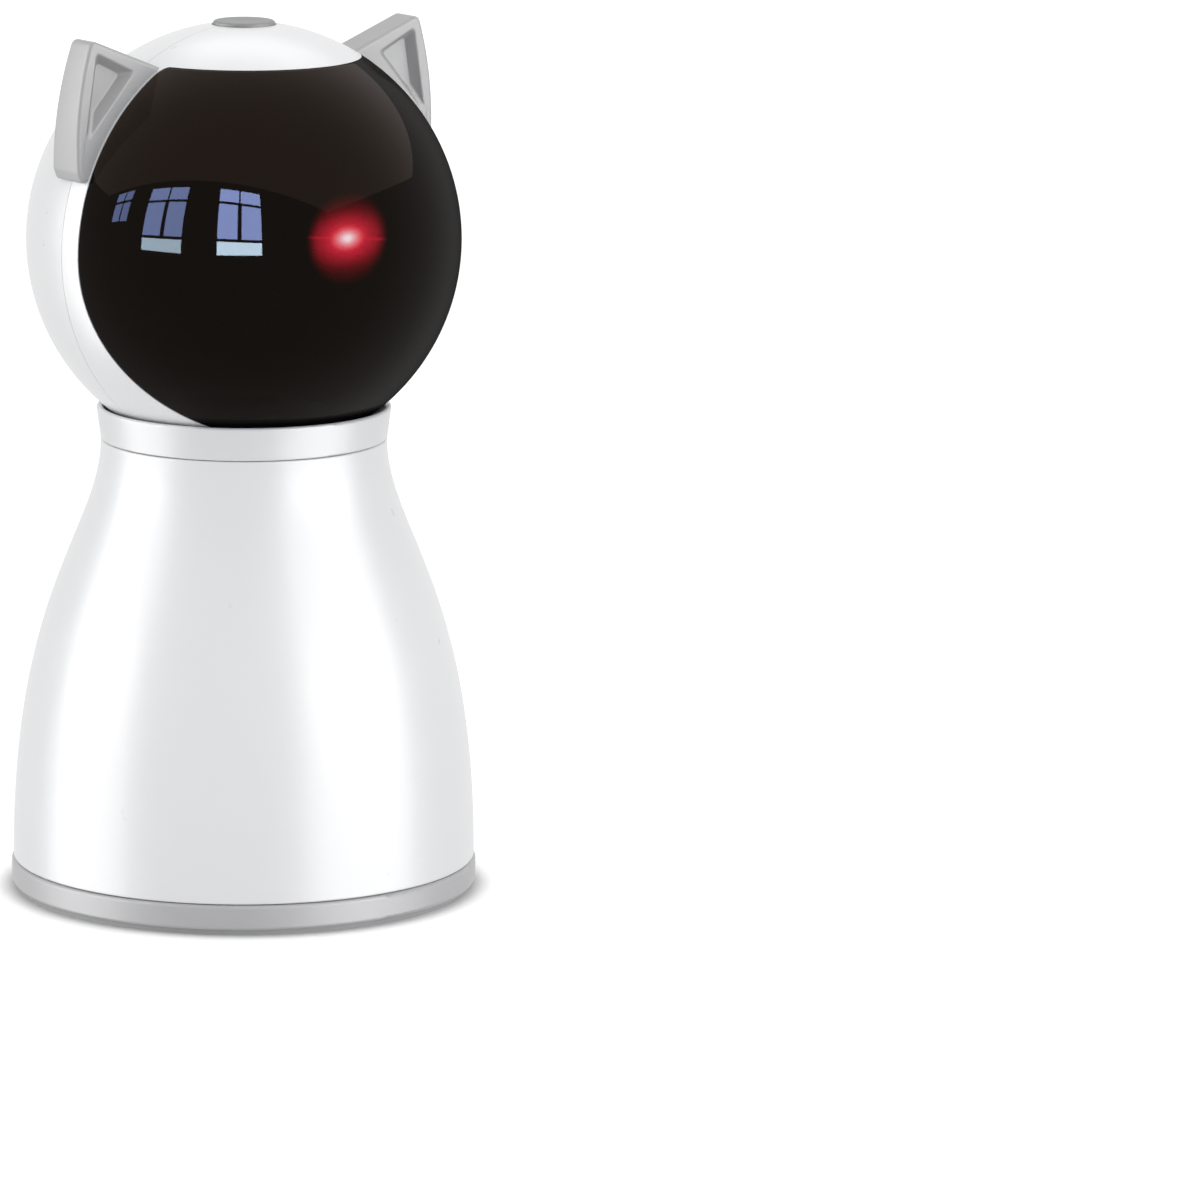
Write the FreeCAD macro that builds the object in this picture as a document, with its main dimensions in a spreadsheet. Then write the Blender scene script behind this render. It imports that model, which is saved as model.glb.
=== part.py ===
"""Automatic cat laser toy: a bell-shaped base with a swivelling cat head.

Frame: origin in the middle of the face it stands on, +Z up, the face looks along -Y.
All lengths are millimetres.  The head's pieces are written about the centre of its
sphere and raised by head_height.
"""
import FreeCAD, Part
import math
import os
import re
import Sketcher
from FreeCAD import Placement, Rotation, Vector

# ---------------------------------------------------------------- driving dimensions

DIMENSIONS = {
    # gaps
    "joint_line": 0.12,          # hairline between two mouldings
    "fit_gap": 0.15,             # loose fit between mating plastic parts
    "running_fit": 0.06,         # radial play of a shaft in its bore
    "slide_gap": 0.1,            # play under a face that turns or slides
    "seat_gap": 0.05,            # play of a piece seated in another
    # base: foot, bottom cover and bell
    "foot_height": 1.0,
    "foot_radius": 41.0,
    "foot_width": 4.8,
    "base_radius": 42.0,
    "bell_step": 0.3,            # the bell's edge stands back from the ring
    "rim_height": 4.5,
    "rim_round": 0.7,
    "cover_floor": 2.0,
    "spigot_wall": 1.6,
    "spigot_height": 4.0,
    "bell_radius": 41.7,         # radius of the curve's lower handle
    "bell_top_radius": 25.7,
    "bell_belly": 26.7,          # drop of the curve's lower handle below the bell's top
    "bell_throat": 16.8,         # drop of the curve's upper handle below the bell's top
    "bell_wall": 2.2,
    "bell_edge_round": 0.35,
    "cover_boss_radius": 3.2,
    "cover_boss_height": 17.0,
    "boss_gap": 0.55,            # room between the bosses and the cover's spigot
    "cover_screw_count": 3,
    "boss_rib_width": 2.0,
    # neck: collar, bush and the head's stem
    "neck_gap": 0.2482,          # room between the ball and the collar's lip
    "collar_height": 6.1,
    "collar_flare": 0.72,
    "lip_width": 1.15,
    "lip_round": 0.5,
    "cup_depth": 4.9,
    "cup_floor": 2.0,
    "spigot_drop": 4.0,
    "collar_wall": 1.8,
    "collar_shelf": 2.0,
    "collar_shelf_bore": 15.0,
    "collar_boss_radius": 2.6,
    "collar_boss_circle": 18.3,
    "collar_screw_count": 3,
    "bush_flange_radius": 12.0,
    "bush_flange": 0.8,
    "bush_radius": 9.0,
    "bush_length": 5.8,
    "stem_radius": 7.0,
    "stem_bore": 4.5,
    "clip_thickness": 1.1,
    "clip_width": 2.4,
    "clip_groove": 0.8,
    "swivel_limit": 90.0,
    "stop_lug_angle": 12.0,
    "stop_rib_angle": 8.0,
    "stop_play_angle": 1.0,
    "stop_height": 2.8,
    "stop_gap": 0.75,            # room between the bush flange and the stop ribs
    # head: shells, visor and ears
    "head_height": 118.0,        # height of the ball's centre
    "head_radius": 38.9,
    "head_wall": 2.0,
    "opening_gap": 1.8,          # room between the ball's lower edge and the collar's cup
    "visor_wall": 1.8,
    "visor_edge": 4.75,          # distance of its straight side edge from the seam
    "visor_top": 32.7,
    "visor_side_arc": 45.0,
    "visor_corner": 1.6,
    "ledge_width": 2.5,
    "ledge_thickness": 1.4,
    "ledge_top": 34.3,
    "shell_screw_x": 27.0,
    "shell_screw_z": 12.0,
    "shell_boss_radius": 2.6,
    "shell_boss_length": 8.0,
    "web_width": 2.4,            # rib that joins a boss to the shell
    "well_radius": 2.2,
    "well_lip": 0.6,
    "well_floor": 5.0,
    "boss_floor": 1.0,
    "hub_height": 5.4,
    "shelf_thickness": 2.5,
    "shelf_bore": 15.6,
    "ear_front": 4.4,
    "ear_rear_top": 1.9,
    "ear_rear_bottom": 4.1,
    "ear_bottom": 13.3,
    "ear_outer": 38.35,
    "ear_outer_arc": 62.0,
    "ear_outer_middle": 19.0,
    "ear_tip_x": 35.25,
    "ear_tip_z": 38.4,
    "ear_tip_round": 1.3,
    "ear_tip_arc": 1.2,
    "ear_heel_width": 0.95,
    "ear_heel_rise": 1.9,
    "ear_root_x": 33.1,
    "ear_crown_x": 17.9,
    "ear_slope": 21.9,
    "ear_edge_round": 0.7,
    "recess_depth": 1.9,
    "recess_taper": 33.0,
    "recess_round": 0.5,
    "recess_lead": 0.5,          # how far before the ear's face the taper starts
    "recess_tip_x": 34.0,
    "recess_tip_z": 35.7,
    "recess_inner_x": 26.8,
    "recess_inner_z": 32.1,
    "recess_low_x": 36.2,
    "recess_low_z": 21.1,
    "ear_tab_root": 34.3,
    "tab_angle": 38.0,
    "tab_width": 8.0,
    "tab_thickness": 2.4,
    "tab_barb": 1.4,
    "tab_slack": 1.0,
    # button on the crown
    "button_radius": 5.55,
    "button_gap": 0.2,
    "button_rise": 0.28,
    "button_height": 2.98,
    "button_round": 0.55,
    "button_dish_radius": 3.6,
    "button_dish_depth": 0.22,
    "button_flange_radius": 6.9,
    "button_flange": 1.0,
    "button_stem_radius": 2.5,
    "button_stem": 1.0,
    "button_travel": 0.5,
    "plunger_radius": 1.7,
    "plunger_length": 2.1,
    "plunger_show": 0.8,
    "switch_size": 6.2,
    "switch_height": 3.6,
    "button_board_length": 20.0,
    "button_board_depth": 15.0,
    "button_board_shift": 2.0,   # how far its middle lies behind the button
    "board_thickness": 1.2,
    "board_post_x": 7.5,
    "board_post_y": 6.5,
    "board_post_radius": 1.9,
    # chassis in the head
    "chassis_radius": 21.0,
    "chassis_plate": 2.0,
    "chassis_screw_circle": 18.6,
    "hub_radius": 10.0,
    "hub_flange": 11.4,
    "spindle_radius": 5.0,
    "spindle_bore": 3.3,
    "spindle_shoulder": 7.2,
    "spindle_clip": 1.0,
    # gears and motors
    "gear_module": 0.5,
    "pressure_angle": 20.0,
    "tooth_play": 0.09,
    "pinion_teeth": 14,
    "pinion_width": 2.6,
    "pan_teeth": 52,
    "pan_gear_width": 3.4,
    "pan_gear_height": 10.3,     # height of its lower face above the chassis plate
    "motor_radius": 6.8,
    "pan_motor_length": 8.6,
    "motor_flange": 1.0,
    "motor_ear_reach": 9.6,
    "motor_ear_width": 5.0,
    "motor_shaft": 0.9,
    "shaft_in_motor": 5.0,
    "tilt_motor_radius": 6.0,
    "tilt_motor_length": 8.6,
    "tilt_ear_reach": 7.8,
    "tilt_teeth": 42,
    "tilt_gear_width": 2.2,
    # turret and laser
    "yoke_base": 2.0,
    "yoke_half_width": 12.0,
    "yoke_arm": 2.4,
    "yoke_front": 11.0,
    "yoke_back": 15.5,
    "yoke_top": 14.6,
    "yoke_arm_round": 4.0,
    "tilt_axis_y": 6.0,
    "tilt_axis_z": 4.0,
    "trunnion_radius": 1.8,
    "laser_radius": 4.5,
    "laser_length": 23.0,
    "laser_tip": 31.0,
    "laser_bezel": 0.6,
    "lens_radius": 2.6,
    "lens_thickness": 1.2,
    "cradle_width": 14.0,
    "cradle_height": 12.0,
    "cradle_rear": 3.0,
    "cradle_front": 7.0,
    # electronics and battery in the base
    "main_board_width": 30.0,
    "board_gap": 3.75,           # room between the battery strap and the board
    "main_board_height": 10.0,
    "standoff_radius": 2.2,
    "standoff_inset": 3.2,
    "port_width": 8.95,
    "port_height": 3.3,
    "port_depth": 7.6,
    "port_wall": 0.35,
    "port_set_back": 0.5,
    "port_tongue": 0.7,
    "port_tongue_inset": 1.2,
    "port_tongue_set_back": 1.0,
    "port_overlap": 1.4,         # stretch of the socket that lies on the board
    "control_chip_size": 7.0,
    "control_chip_height": 1.0,
    "control_chip_shift": 1.7,
    "driver_chip_length": 5.0,
    "driver_chip_width": 4.0,
    "driver_chip_height": 1.5,
    "board_edge_gap": 1.0,
    "connector_width": 9.0,
    "connector_depth": 5.0,
    "connector_height": 6.0,
    "cell_radius": 9.1,
    "cell_length": 50.0,
    "tray_gap": 1.647,           # room between the battery tray and the cover's spigot
    "cradle_wall": 1.5,
    "cell_tip_radius": 3.0,
    "cell_tip_height": 1.0,
    "cell_end_play": 1.2,
    "tray_end_rise": 4.0,
    "battery_tray_width": 16.0,
    "battery_tray_height": 5.0,
    "strap_width": 8.0,
    "strap_thickness": 1.6,
    "strap_x": 11.0,
    # wiring
    "wire_bundle": 1.5,
    "head_wire": 1.05,
    "neck_wire_straight": 15.0,
    "neck_wire_rise": 36.0,
    "wire_side_x": 22.0,
    "wire_side_y": 18.0,
    "wire_low": 9.0,
    "wire_high": 8.0,
    "wire_turn": 22.0,
    "wire_end_x": 3.0,
    "wire_end_y": 1.0,
    # screws
    "screw_shank": 1.0,
    "screw_head": 1.9,
    "screw_head_height": 1.3,
    "screw_slot": 0.5,
    "screw_length": 6.0,
}

document = FreeCAD.newDocument("cat_laser_toy")
sheet = document.addObject("Spreadsheet::Sheet", "dim")
for row, (alias, size) in enumerate(DIMENSIONS.items(), start=1):
    sheet.set(f"A{row}", alias)
    sheet.set(f"B{row}", str(size))
    sheet.setAlias(f"B{row}", alias)
document.recompute()

# ---------------------------------------------------------------- small tools

ALONG_X = Rotation(Vector(0, 1, 0), 90)
ALONG_Y = Rotation(Vector(1, 0, 0), -90)
TOWARDS_FRONT = Rotation(Vector(1, 0, 0), 90)
DOWNWARDS = Rotation(Vector(1, 0, 0), 180)
UPRIGHT = Rotation()
WORD = re.compile(r"[a-z]\w*")

NODES = []


def number(rule):
    """The value of a rule written with the sheet's names."""
    return float(sheet.evalExpression(str(rule)))


def bind(thing, path, rule):
    """Ties a property to a rule; the sheet's names are found by their alias."""
    text = WORD.sub(lambda word: "dim." + word[0] if word[0] in DIMENSIONS else word[0], str(rule))
    thing.setExpression(path, text)


def place(thing, at, turn=UPRIGHT):
    """Sets the turn, and ties the three coordinates of the position to rules."""
    thing.Placement = Placement(Vector(*(number(rule) for rule in at)), turn)
    for axis, rule in zip("xyz", at):
        bind(thing, f"Placement.Base.{axis}", rule)
    return thing


def primitive(kind, name, at=("0", "0", "0"), turn=UPRIGHT, **sizes):
    """A Part primitive whose sizes and position follow the sheet."""
    thing = document.addObject("Part::" + kind, name)
    for size, rule in sizes.items():
        setattr(thing, size, number(rule))
        bind(thing, size, rule)
    return place(thing, at, turn)


def rod(name, radius, length, at=("0", "0", "0"), turn=UPRIGHT):
    return primitive("Cylinder", name, at, turn, Radius=radius, Height=length)


def block(name, corner, sizes):
    """A box from its lowest corner and its three lengths."""
    length, width, height = sizes
    return primitive("Box", name, corner, Length=length, Width=width, Height=height)


def ball(name, radius):
    """A sphere about the head's centre."""
    return primitive("Sphere", name, HEAD_CENTRE, Radius=radius)


def fuse(name, *things):
    thing = document.addObject("Part::MultiFuse", name)
    thing.Shapes = list(things)
    thing.Refine = True
    return thing


def cut(name, body, *tools):
    thing = document.addObject("Part::Cut", name)
    thing.Base = body
    thing.Tool = tools[0] if len(tools) == 1 else fuse(name + "_tools", *tools)
    return thing


def common(name, *things):
    thing = document.addObject("Part::MultiCommon", name)
    thing.Shapes = list(things)
    return thing


def group(name, things):
    """Separate solids that share one node."""
    thing = document.addObject("Part::Compound", name)
    thing.Links = list(things)
    return thing


def node(thing, label):
    """Marks a finished sub-part; its label names its file."""
    thing.Label = label
    NODES.append(thing)
    return thing


def above(rule):
    """A height written from the centre of the head."""
    return f"head_height + ({rule})"


def around(count, circle, first="0"):
    """Rules for x and y of places spread evenly on a circle."""
    spots = []
    for index in range(int(number(count))):
        angle = f"({first} + {index} * 360 / {count})"
        spots.append((f"{circle} * cos({angle})", f"{circle} * sin({angle})", angle))
    return spots


def origin_plane(body, role):
    return next(item for item in body.Origin.OriginFeatures if item.Role == role)


def new_sketch(body, name, role):
    sketch = body.newObject("Sketcher::SketchObject", name)
    sketch.AttachmentSupport = [(origin_plane(body, role), "")]
    sketch.MapMode = "FlatFace"
    return sketch


def pin_point(sketch, item, end, rules):
    """Ties a point's two sketch coordinates to rules."""
    for kind, rule in zip(("DistanceX", "DistanceY"), rules):
        index = sketch.addConstraint(Sketcher.Constraint(kind, -1, 1, item, end, number(rule)))
        bind(sketch, f"Constraints[{index}]", rule)


def draw_loop(sketch, corners):
    """Closed outline.  A corner is (x, y) or (x, y, radius): a radius makes the stretch
    to the next corner an arc, bulging to the right of travel, or left if negative."""
    items = []
    for index, corner in enumerate(corners):
        following = corners[(index + 1) % len(corners)]
        start = Vector(number(corner[0]), number(corner[1]), 0)
        end = Vector(number(following[0]), number(following[1]), 0)
        if len(corner) == 2:
            items.append(sketch.addGeometry(Part.LineSegment(start, end), False))
            pin_point(sketch, items[-1], 1, corner[:2])
            continue
        radius = number(corner[2])
        side = math.copysign(1.0, radius)
        chord = end - start
        right = Vector(chord.y, -chord.x, 0).normalize() * side
        rise = abs(radius) - math.sqrt(radius ** 2 - (chord.Length / 2) ** 2)
        arc = Part.Arc(start, (start + end) / 2 + right * rise, end)
        items.append(sketch.addGeometry(arc, False))
        ends = (1, 2) if (sketch.getPoint(items[-1], 1) - start).Length < 1e-6 else (2, 1)
        pin_point(sketch, items[-1], ends[0], corner[:2])
        pin_point(sketch, items[-1], ends[1], following[:2])
        index = sketch.addConstraint(Sketcher.Constraint("Radius", items[-1], abs(radius)))
        bind(sketch, f"Constraints[{index}]", f"abs({corner[2]})")
    for index, item in enumerate(items):
        if len(corners[index]) == 2:
            following = items[(index + 1) % len(items)]
            target = corners[(index + 1) % len(items)]
            near = 1
            if len(target) == 3:
                spot = Vector(number(target[0]), number(target[1]), 0)
                near = 1 if (sketch.getPoint(following, 1) - spot).Length < 1e-6 else 2
            sketch.addConstraint(Sketcher.Constraint("Coincident", item, 2, following, near))
    return items


def turned(name, corners, at=("0", "0", "0")):
    """A body of revolution; corners are (radius, height)."""
    body = document.addObject("PartDesign::Body", name)
    sketch = new_sketch(body, name + "_profile", "XZ_Plane")
    draw_loop(sketch, corners)
    document.recompute()
    revolution = body.newObject("PartDesign::Revolution", name + "_revolution")
    revolution.Profile = sketch
    revolution.ReferenceAxis = (sketch, ["V_Axis"])
    revolution.Angle = 360
    return place(body, at)


def extruded(name, role, corners, thickness, at=("0", "0", "0")):
    """A flat outline on one of the main planes, thickened evenly to both sides."""
    body = document.addObject("PartDesign::Body", name)
    sketch = new_sketch(body, name + "_outline", role)
    draw_loop(sketch, corners)
    document.recompute()
    pad = body.newObject("PartDesign::Pad", name + "_pad")
    pad.Profile = sketch
    pad.SideType = "Symmetric"
    bind(pad, "Length", thickness)
    return place(body, at)


def screw(name, at, turn=UPRIGHT, length="screw_length"):
    """Pan-head screw with a cross recess: its shank runs along +Z from under its head."""
    head = rod(name + "_head", "screw_head", "screw_head_height", at=("0", "0", "-screw_head_height"))
    shank = rod(name + "_shank", "screw_shank", length)
    slots = []
    for index, (long_side, short_side) in enumerate((("screw_head", "screw_slot"),
                                                     ("screw_slot", "screw_head"))):
        corner = (f"-{long_side} / 2 * 1.2", f"-{short_side} / 2 * 1.2", "-screw_head_height")
        sizes = (f"{long_side} * 1.2", f"{short_side} * 1.2", "screw_head_height / 2")
        slots.append(block(f"{name}_slot_{index}", corner, sizes))
    return place(cut(name, fuse(name + "_blank", head, shank), *slots), at, turn)


def tooth_flank(teeth, module, play):
    """Half thickness angle of a tooth at rising radii, by the involute formula."""
    pitch = teeth * module / 2
    base = pitch * math.cos(math.radians(number("pressure_angle")))
    tip = pitch + 0.8 * module
    root = pitch - 1.05 * module
    at_pitch = math.pi / 2 / teeth - play / pitch / 2
    involute_at_pitch = math.tan(math.acos(base / pitch)) - math.acos(base / pitch)
    flank = []
    for step in range(4):
        radius = max(base, root) + (tip - max(base, root)) * step / 3
        pressure = math.acos(min(1.0, base / radius))
        flank.append((radius, at_pitch + involute_at_pitch - (math.tan(pressure) - pressure)))
    return [(root, flank[0][1])] + flank if root < base else flank


def gear(name, teeth_name, width, bore, at, turn=UPRIGHT, tooth_up=True):
    """Spur gear with a bore; a tooth, or else a gap, points along its own +X."""
    teeth = int(number(teeth_name))
    flank = tooth_flank(teeth, number("gear_module"), number("tooth_play"))
    shift = 0.0 if tooth_up else math.pi / teeth
    points = []
    for tooth in range(teeth):
        middle = 2 * math.pi * tooth / teeth + shift
        for radius, half in flank:
            points.append(Vector(radius * math.cos(middle - half), radius * math.sin(middle - half), 0))
        for radius, half in reversed(flank):
            points.append(Vector(radius * math.cos(middle + half), radius * math.sin(middle + half), 0))
    outline = Part.Face(Part.makePolygon(points + points[:1]))
    height = number(width)
    solid = outline.extrude(Vector(0, 0, height))
    solid = solid.cut(Part.makeCylinder(number(bore), height))
    thing = document.addObject("Part::Feature", name)
    thing.Shape = solid
    return place(thing, at, turn)


# ---------------------------------------------------------------- shared heights and radii

RIM_TOP = "(foot_height + rim_height)"
BELL_BOTTOM = f"({RIM_TOP} + joint_line)"
COVER_TOP = "(foot_height + cover_floor)"
BELL_FOOT = "(base_radius - bell_step)"
SPIGOT_RADIUS = f"({BELL_FOOT} - bell_wall - fit_gap)"
COVER_ROOM = f"({SPIGOT_RADIUS} - spigot_wall)"
COVER_CIRCLE = f"({COVER_ROOM} - cover_boss_radius - boss_gap)"
LIP_RADIUS = "(bell_top_radius + collar_flare)"
COLLAR_TOP = f"(head_height - sqrt((head_radius + neck_gap)^2 - ({LIP_RADIUS} - lip_width)^2))"
BELL_TOP = f"({COLLAR_TOP} - collar_height)"
COLLAR_BOTTOM = f"({BELL_TOP} + joint_line)"
COLLAR_SPIGOT = "(bell_top_radius - bell_wall - fit_gap)"
CUP_TOP = f"({COLLAR_TOP} - cup_depth)"
COLLAR_FOOT = f"({BELL_TOP} - spigot_drop)"
SHELF_TOP = f"({COLLAR_FOOT} - seat_gap)"
BUSH_TOP = f"({CUP_TOP} + bush_flange)"
BUSH_BOTTOM = f"({BUSH_TOP} - bush_length)"
CLIP_TOP = f"({BUSH_BOTTOM} - 2 * slide_gap)"
HUB_BOTTOM = f"({BUSH_TOP} + slide_gap)"
HEAD_OPENING = f"({CUP_TOP} + opening_gap)"
HEAD_SHELF = f"({HUB_BOTTOM} + hub_height)"
PLATE_TOP = f"({HEAD_SHELF} + chassis_plate)"
PAN_GEAR_BOTTOM = f"({PLATE_TOP} + pan_gear_height)"
YOKE_BOTTOM = f"({PAN_GEAR_BOTTOM} + pan_gear_width)"
YOKE_FLOOR = f"({YOKE_BOTTOM} + yoke_base)"
PAN_CENTRES = "((pan_teeth + pinion_teeth) * gear_module / 2)"
TILT_CENTRES = "((tilt_teeth + pinion_teeth) * gear_module / 2)"
TILT_Y = "(0 - tilt_axis_y)"
TILT_Z = "(head_height + tilt_axis_z)"
TILT_MOTOR_Y = f"({TILT_Y} + {TILT_CENTRES})"
BUTTON_TOP = "(head_height + head_radius + button_rise)"
BUTTON_FOOT = f"({BUTTON_TOP} - button_height - button_flange - button_stem)"
SWITCH_TOP = f"({BUTTON_FOOT} - plunger_show)"
BUTTON_BOARD_TOP = f"({SWITCH_TOP} - switch_height)"
MAIN_BOARD_TOP = "(main_board_height + board_thickness)"
CONNECTOR_X = "(0 - main_board_width / 10)"
CELL_Z = f"({COVER_TOP} + cradle_wall + cell_radius)"
CELL_ROOM = "(cell_length / 2 + cell_end_play + cradle_wall)"
CELL_Y = f"(battery_tray_width / 2 + tray_gap - sqrt({COVER_ROOM}^2 - {CELL_ROOM}^2))"
STRAP_REACH = "(cell_radius + strap_thickness + standoff_radius + fit_gap)"
BOARD_FRONT = f"({CELL_Y} + {STRAP_REACH} + standoff_radius + board_gap)"
PORT_BACK = f"({BELL_FOOT} - port_set_back - port_depth)"
BOARD_DEPTH = f"({PORT_BACK} + port_overlap - {BOARD_FRONT})"
HEAD_CENTRE = ("0", "0", "head_height")
WIRE_EXIT = ("0", "0", f"({PLATE_TOP} + 2 * wire_bundle)")
THREAD = "screw_shank + seat_gap"
CLEARANCE_HOLE = "screw_shank + slide_gap"


def ring(name, inner, outer, bottom, height):
    """A flat ring about the axis of the toy."""
    top = f"{bottom} + {height}"
    return turned(name, [(inner, bottom), (outer, bottom), (outer, top), (inner, top)])


def spoke(name, inner, outer, width, bottom, height, angle):
    """A radial bar from one radius to another, at an angle about the axis."""
    thing = block(name, ("0", "0", bottom), (f"{outer} - {inner}", width, height))
    thing.Placement.Rotation = Rotation(Vector(0, 0, 1), number(angle))
    bind(thing, "Placement.Rotation.Angle", angle)
    bind(thing, "Placement.Base.x", f"({inner}) * cos({angle}) + ({width}) / 2 * sin({angle})")
    bind(thing, "Placement.Base.y", f"({inner}) * sin({angle}) - ({width}) / 2 * cos({angle})")
    return thing


def sector(name, inner, outer, bottom, height, start, spread):
    """A piece of a ring that starts at one angle and spreads anticlockwise."""
    whole = primitive("Cylinder", name + "_whole", ("0", "0", bottom),
                      Rotation(Vector(0, 0, 1), number(start)), Radius=outer, Height=height, Angle=spread)
    bind(whole, "Placement.Rotation.Angle", start)
    core = rod(name + "_core", inner, height, ("0", "0", bottom))
    return cut(name, whole, core)


def rounded(name, thing, radius, wanted):
    """Rounds the edges of a thing that a test picks out."""
    document.recompute()
    size = number(radius)
    picked = [index for index, edge in enumerate(thing.Shape.Edges, start=1) if wanted(edge)]
    result = document.addObject("Part::Fillet", name)
    result.Base = thing
    result.Edges = [(index, size, size) for index in picked]
    return result


def cable(name, points, radius):
    """A round cable along straight runs joined by arcs, from points given as rules."""
    route = [Vector(*(number(rule) for rule in point)) for point in points]
    edges = []
    last = route[0]
    for before, corner, after in zip(route, route[1:], route[2:]):
        back = (before - corner).normalize()
        ahead = (after - corner).normalize()
        reach = 0.45 * min((before - corner).Length, (after - corner).Length)
        half_turn = (math.pi - back.getAngle(ahead)) / 2
        bend = reach / math.tan(half_turn)
        middle = (back + ahead).normalize()
        inward = math.hypot(reach, bend) - bend
        start, end = corner + back * reach, corner + ahead * reach
        edges.append(Part.LineSegment(last, start).toShape())
        edges.append(Part.Arc(start, corner + middle * inward, end).toShape())
        last = end
    edges.append(Part.LineSegment(last, route[-1]).toShape())
    path = Part.Wire(edges)
    section = Part.Wire(Part.makeCircle(number(radius), route[0], route[1] - route[0]))
    thing = document.addObject("Part::Feature", name)
    thing.Shape = path.makePipeShell([section], True, False)
    return place(thing, ("0", "0", "0"))


# ---------------------------------------------------------------- base

def make_foot_ring():
    inner = "foot_radius - foot_width"
    node(ring("foot", inner, "foot_radius", "0", "foot_height"), "foot_ring")


def cover_spots():
    return around("cover_screw_count", COVER_CIRCLE, first="30")


def make_bottom_cover():
    lip = f"{RIM_TOP} + spigot_height"
    shell = turned("cover_shell", [
        ("0", "foot_height"),
        ("base_radius - rim_round", "foot_height", "rim_round"),
        ("base_radius", "foot_height + rim_round"),
        ("base_radius", f"{RIM_TOP} - rim_round", "rim_round"),
        ("base_radius - rim_round", RIM_TOP),
        (SPIGOT_RADIUS, RIM_TOP),
        (SPIGOT_RADIUS, lip),
        (COVER_ROOM, lip),
        (COVER_ROOM, COVER_TOP),
        ("0", COVER_TOP)])
    posts = []
    for index, (x, y) in enumerate(board_spots()):
        height = f"main_board_height - {COVER_TOP} + seat_gap"
        posts.append(rod(f"cover_post_{index}", "standoff_radius", height,
                         (x, y, f"{COVER_TOP} - seat_gap")))
    for index, y in enumerate(strap_spots()):
        posts.append(rod(f"strap_post_{index}", "standoff_radius", "battery_tray_height + seat_gap",
                         ("0 - strap_x", y, f"{COVER_TOP} - seat_gap")))
    holes = []
    for index, (x, y, _) in enumerate(cover_spots()):
        holes.append(rod(f"cover_hole_{index}", CLEARANCE_HOLE, "cover_floor * 2", (x, y, "0")))
        holes.append(rod(f"cover_sink_{index}", "screw_head + slide_gap", "screw_head_height + foot_height",
                         (x, y, "0")))
    for index, (x, y) in enumerate(board_spots()):
        holes.append(rod(f"post_hole_{index}", THREAD, "screw_length",
                         (x, y, "main_board_height - screw_length + board_thickness - seat_gap")))
    for index, y in enumerate(strap_spots()):
        holes.append(rod(f"strap_hole_{index}", THREAD, "battery_tray_height",
                         ("0 - strap_x", y, f"{COVER_TOP} + seat_gap")))
    node(cut("cover", fuse("cover_blank", shell, *posts), *holes), "bottom_cover")
    screws = [screw(f"cover_screw_{index}", (x, y, "foot_height + screw_head_height"))
              for index, (x, y, _) in enumerate(cover_spots())]
    node(group("cover_screw_group", screws), "cover_screws")


def bell_curve(sketch, inset, upwards):
    """The bell's side as one cubic curve between its two edges; returns its item."""
    ends = [(f"{BELL_FOOT} - {inset}", BELL_BOTTOM), (f"bell_radius - {inset}", f"{BELL_TOP} - bell_belly"),
            (f"bell_top_radius - {inset}", f"{BELL_TOP} - bell_throat"),
            (f"bell_top_radius - {inset}", BELL_TOP)]
    if not upwards:
        ends.reverse()
    curve = Part.BezierCurve()
    curve.setPoles([Vector(number(x), number(y), 0) for x, y in ends])
    item = sketch.addGeometry(curve.toBSpline(), False)
    handles = []
    for index, spot in enumerate(ends):
        centre = Vector(number(spot[0]), number(spot[1]), 0)
        handles.append(sketch.addGeometry(Part.Circle(centre, Vector(0, 0, 1), 1), True))
        if index == 0:
            sketch.addConstraint(Sketcher.Constraint("Weight", handles[0], 1.0))
        else:
            sketch.addConstraint(Sketcher.Constraint("Equal", handles[0], handles[-1]))
        sketch.addConstraint(Sketcher.Constraint(
            "InternalAlignment:Sketcher::BSplineControlPoint", handles[-1], 3, item, index))
        pin_point(sketch, handles[-1], 3, spot)
    return item


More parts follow.
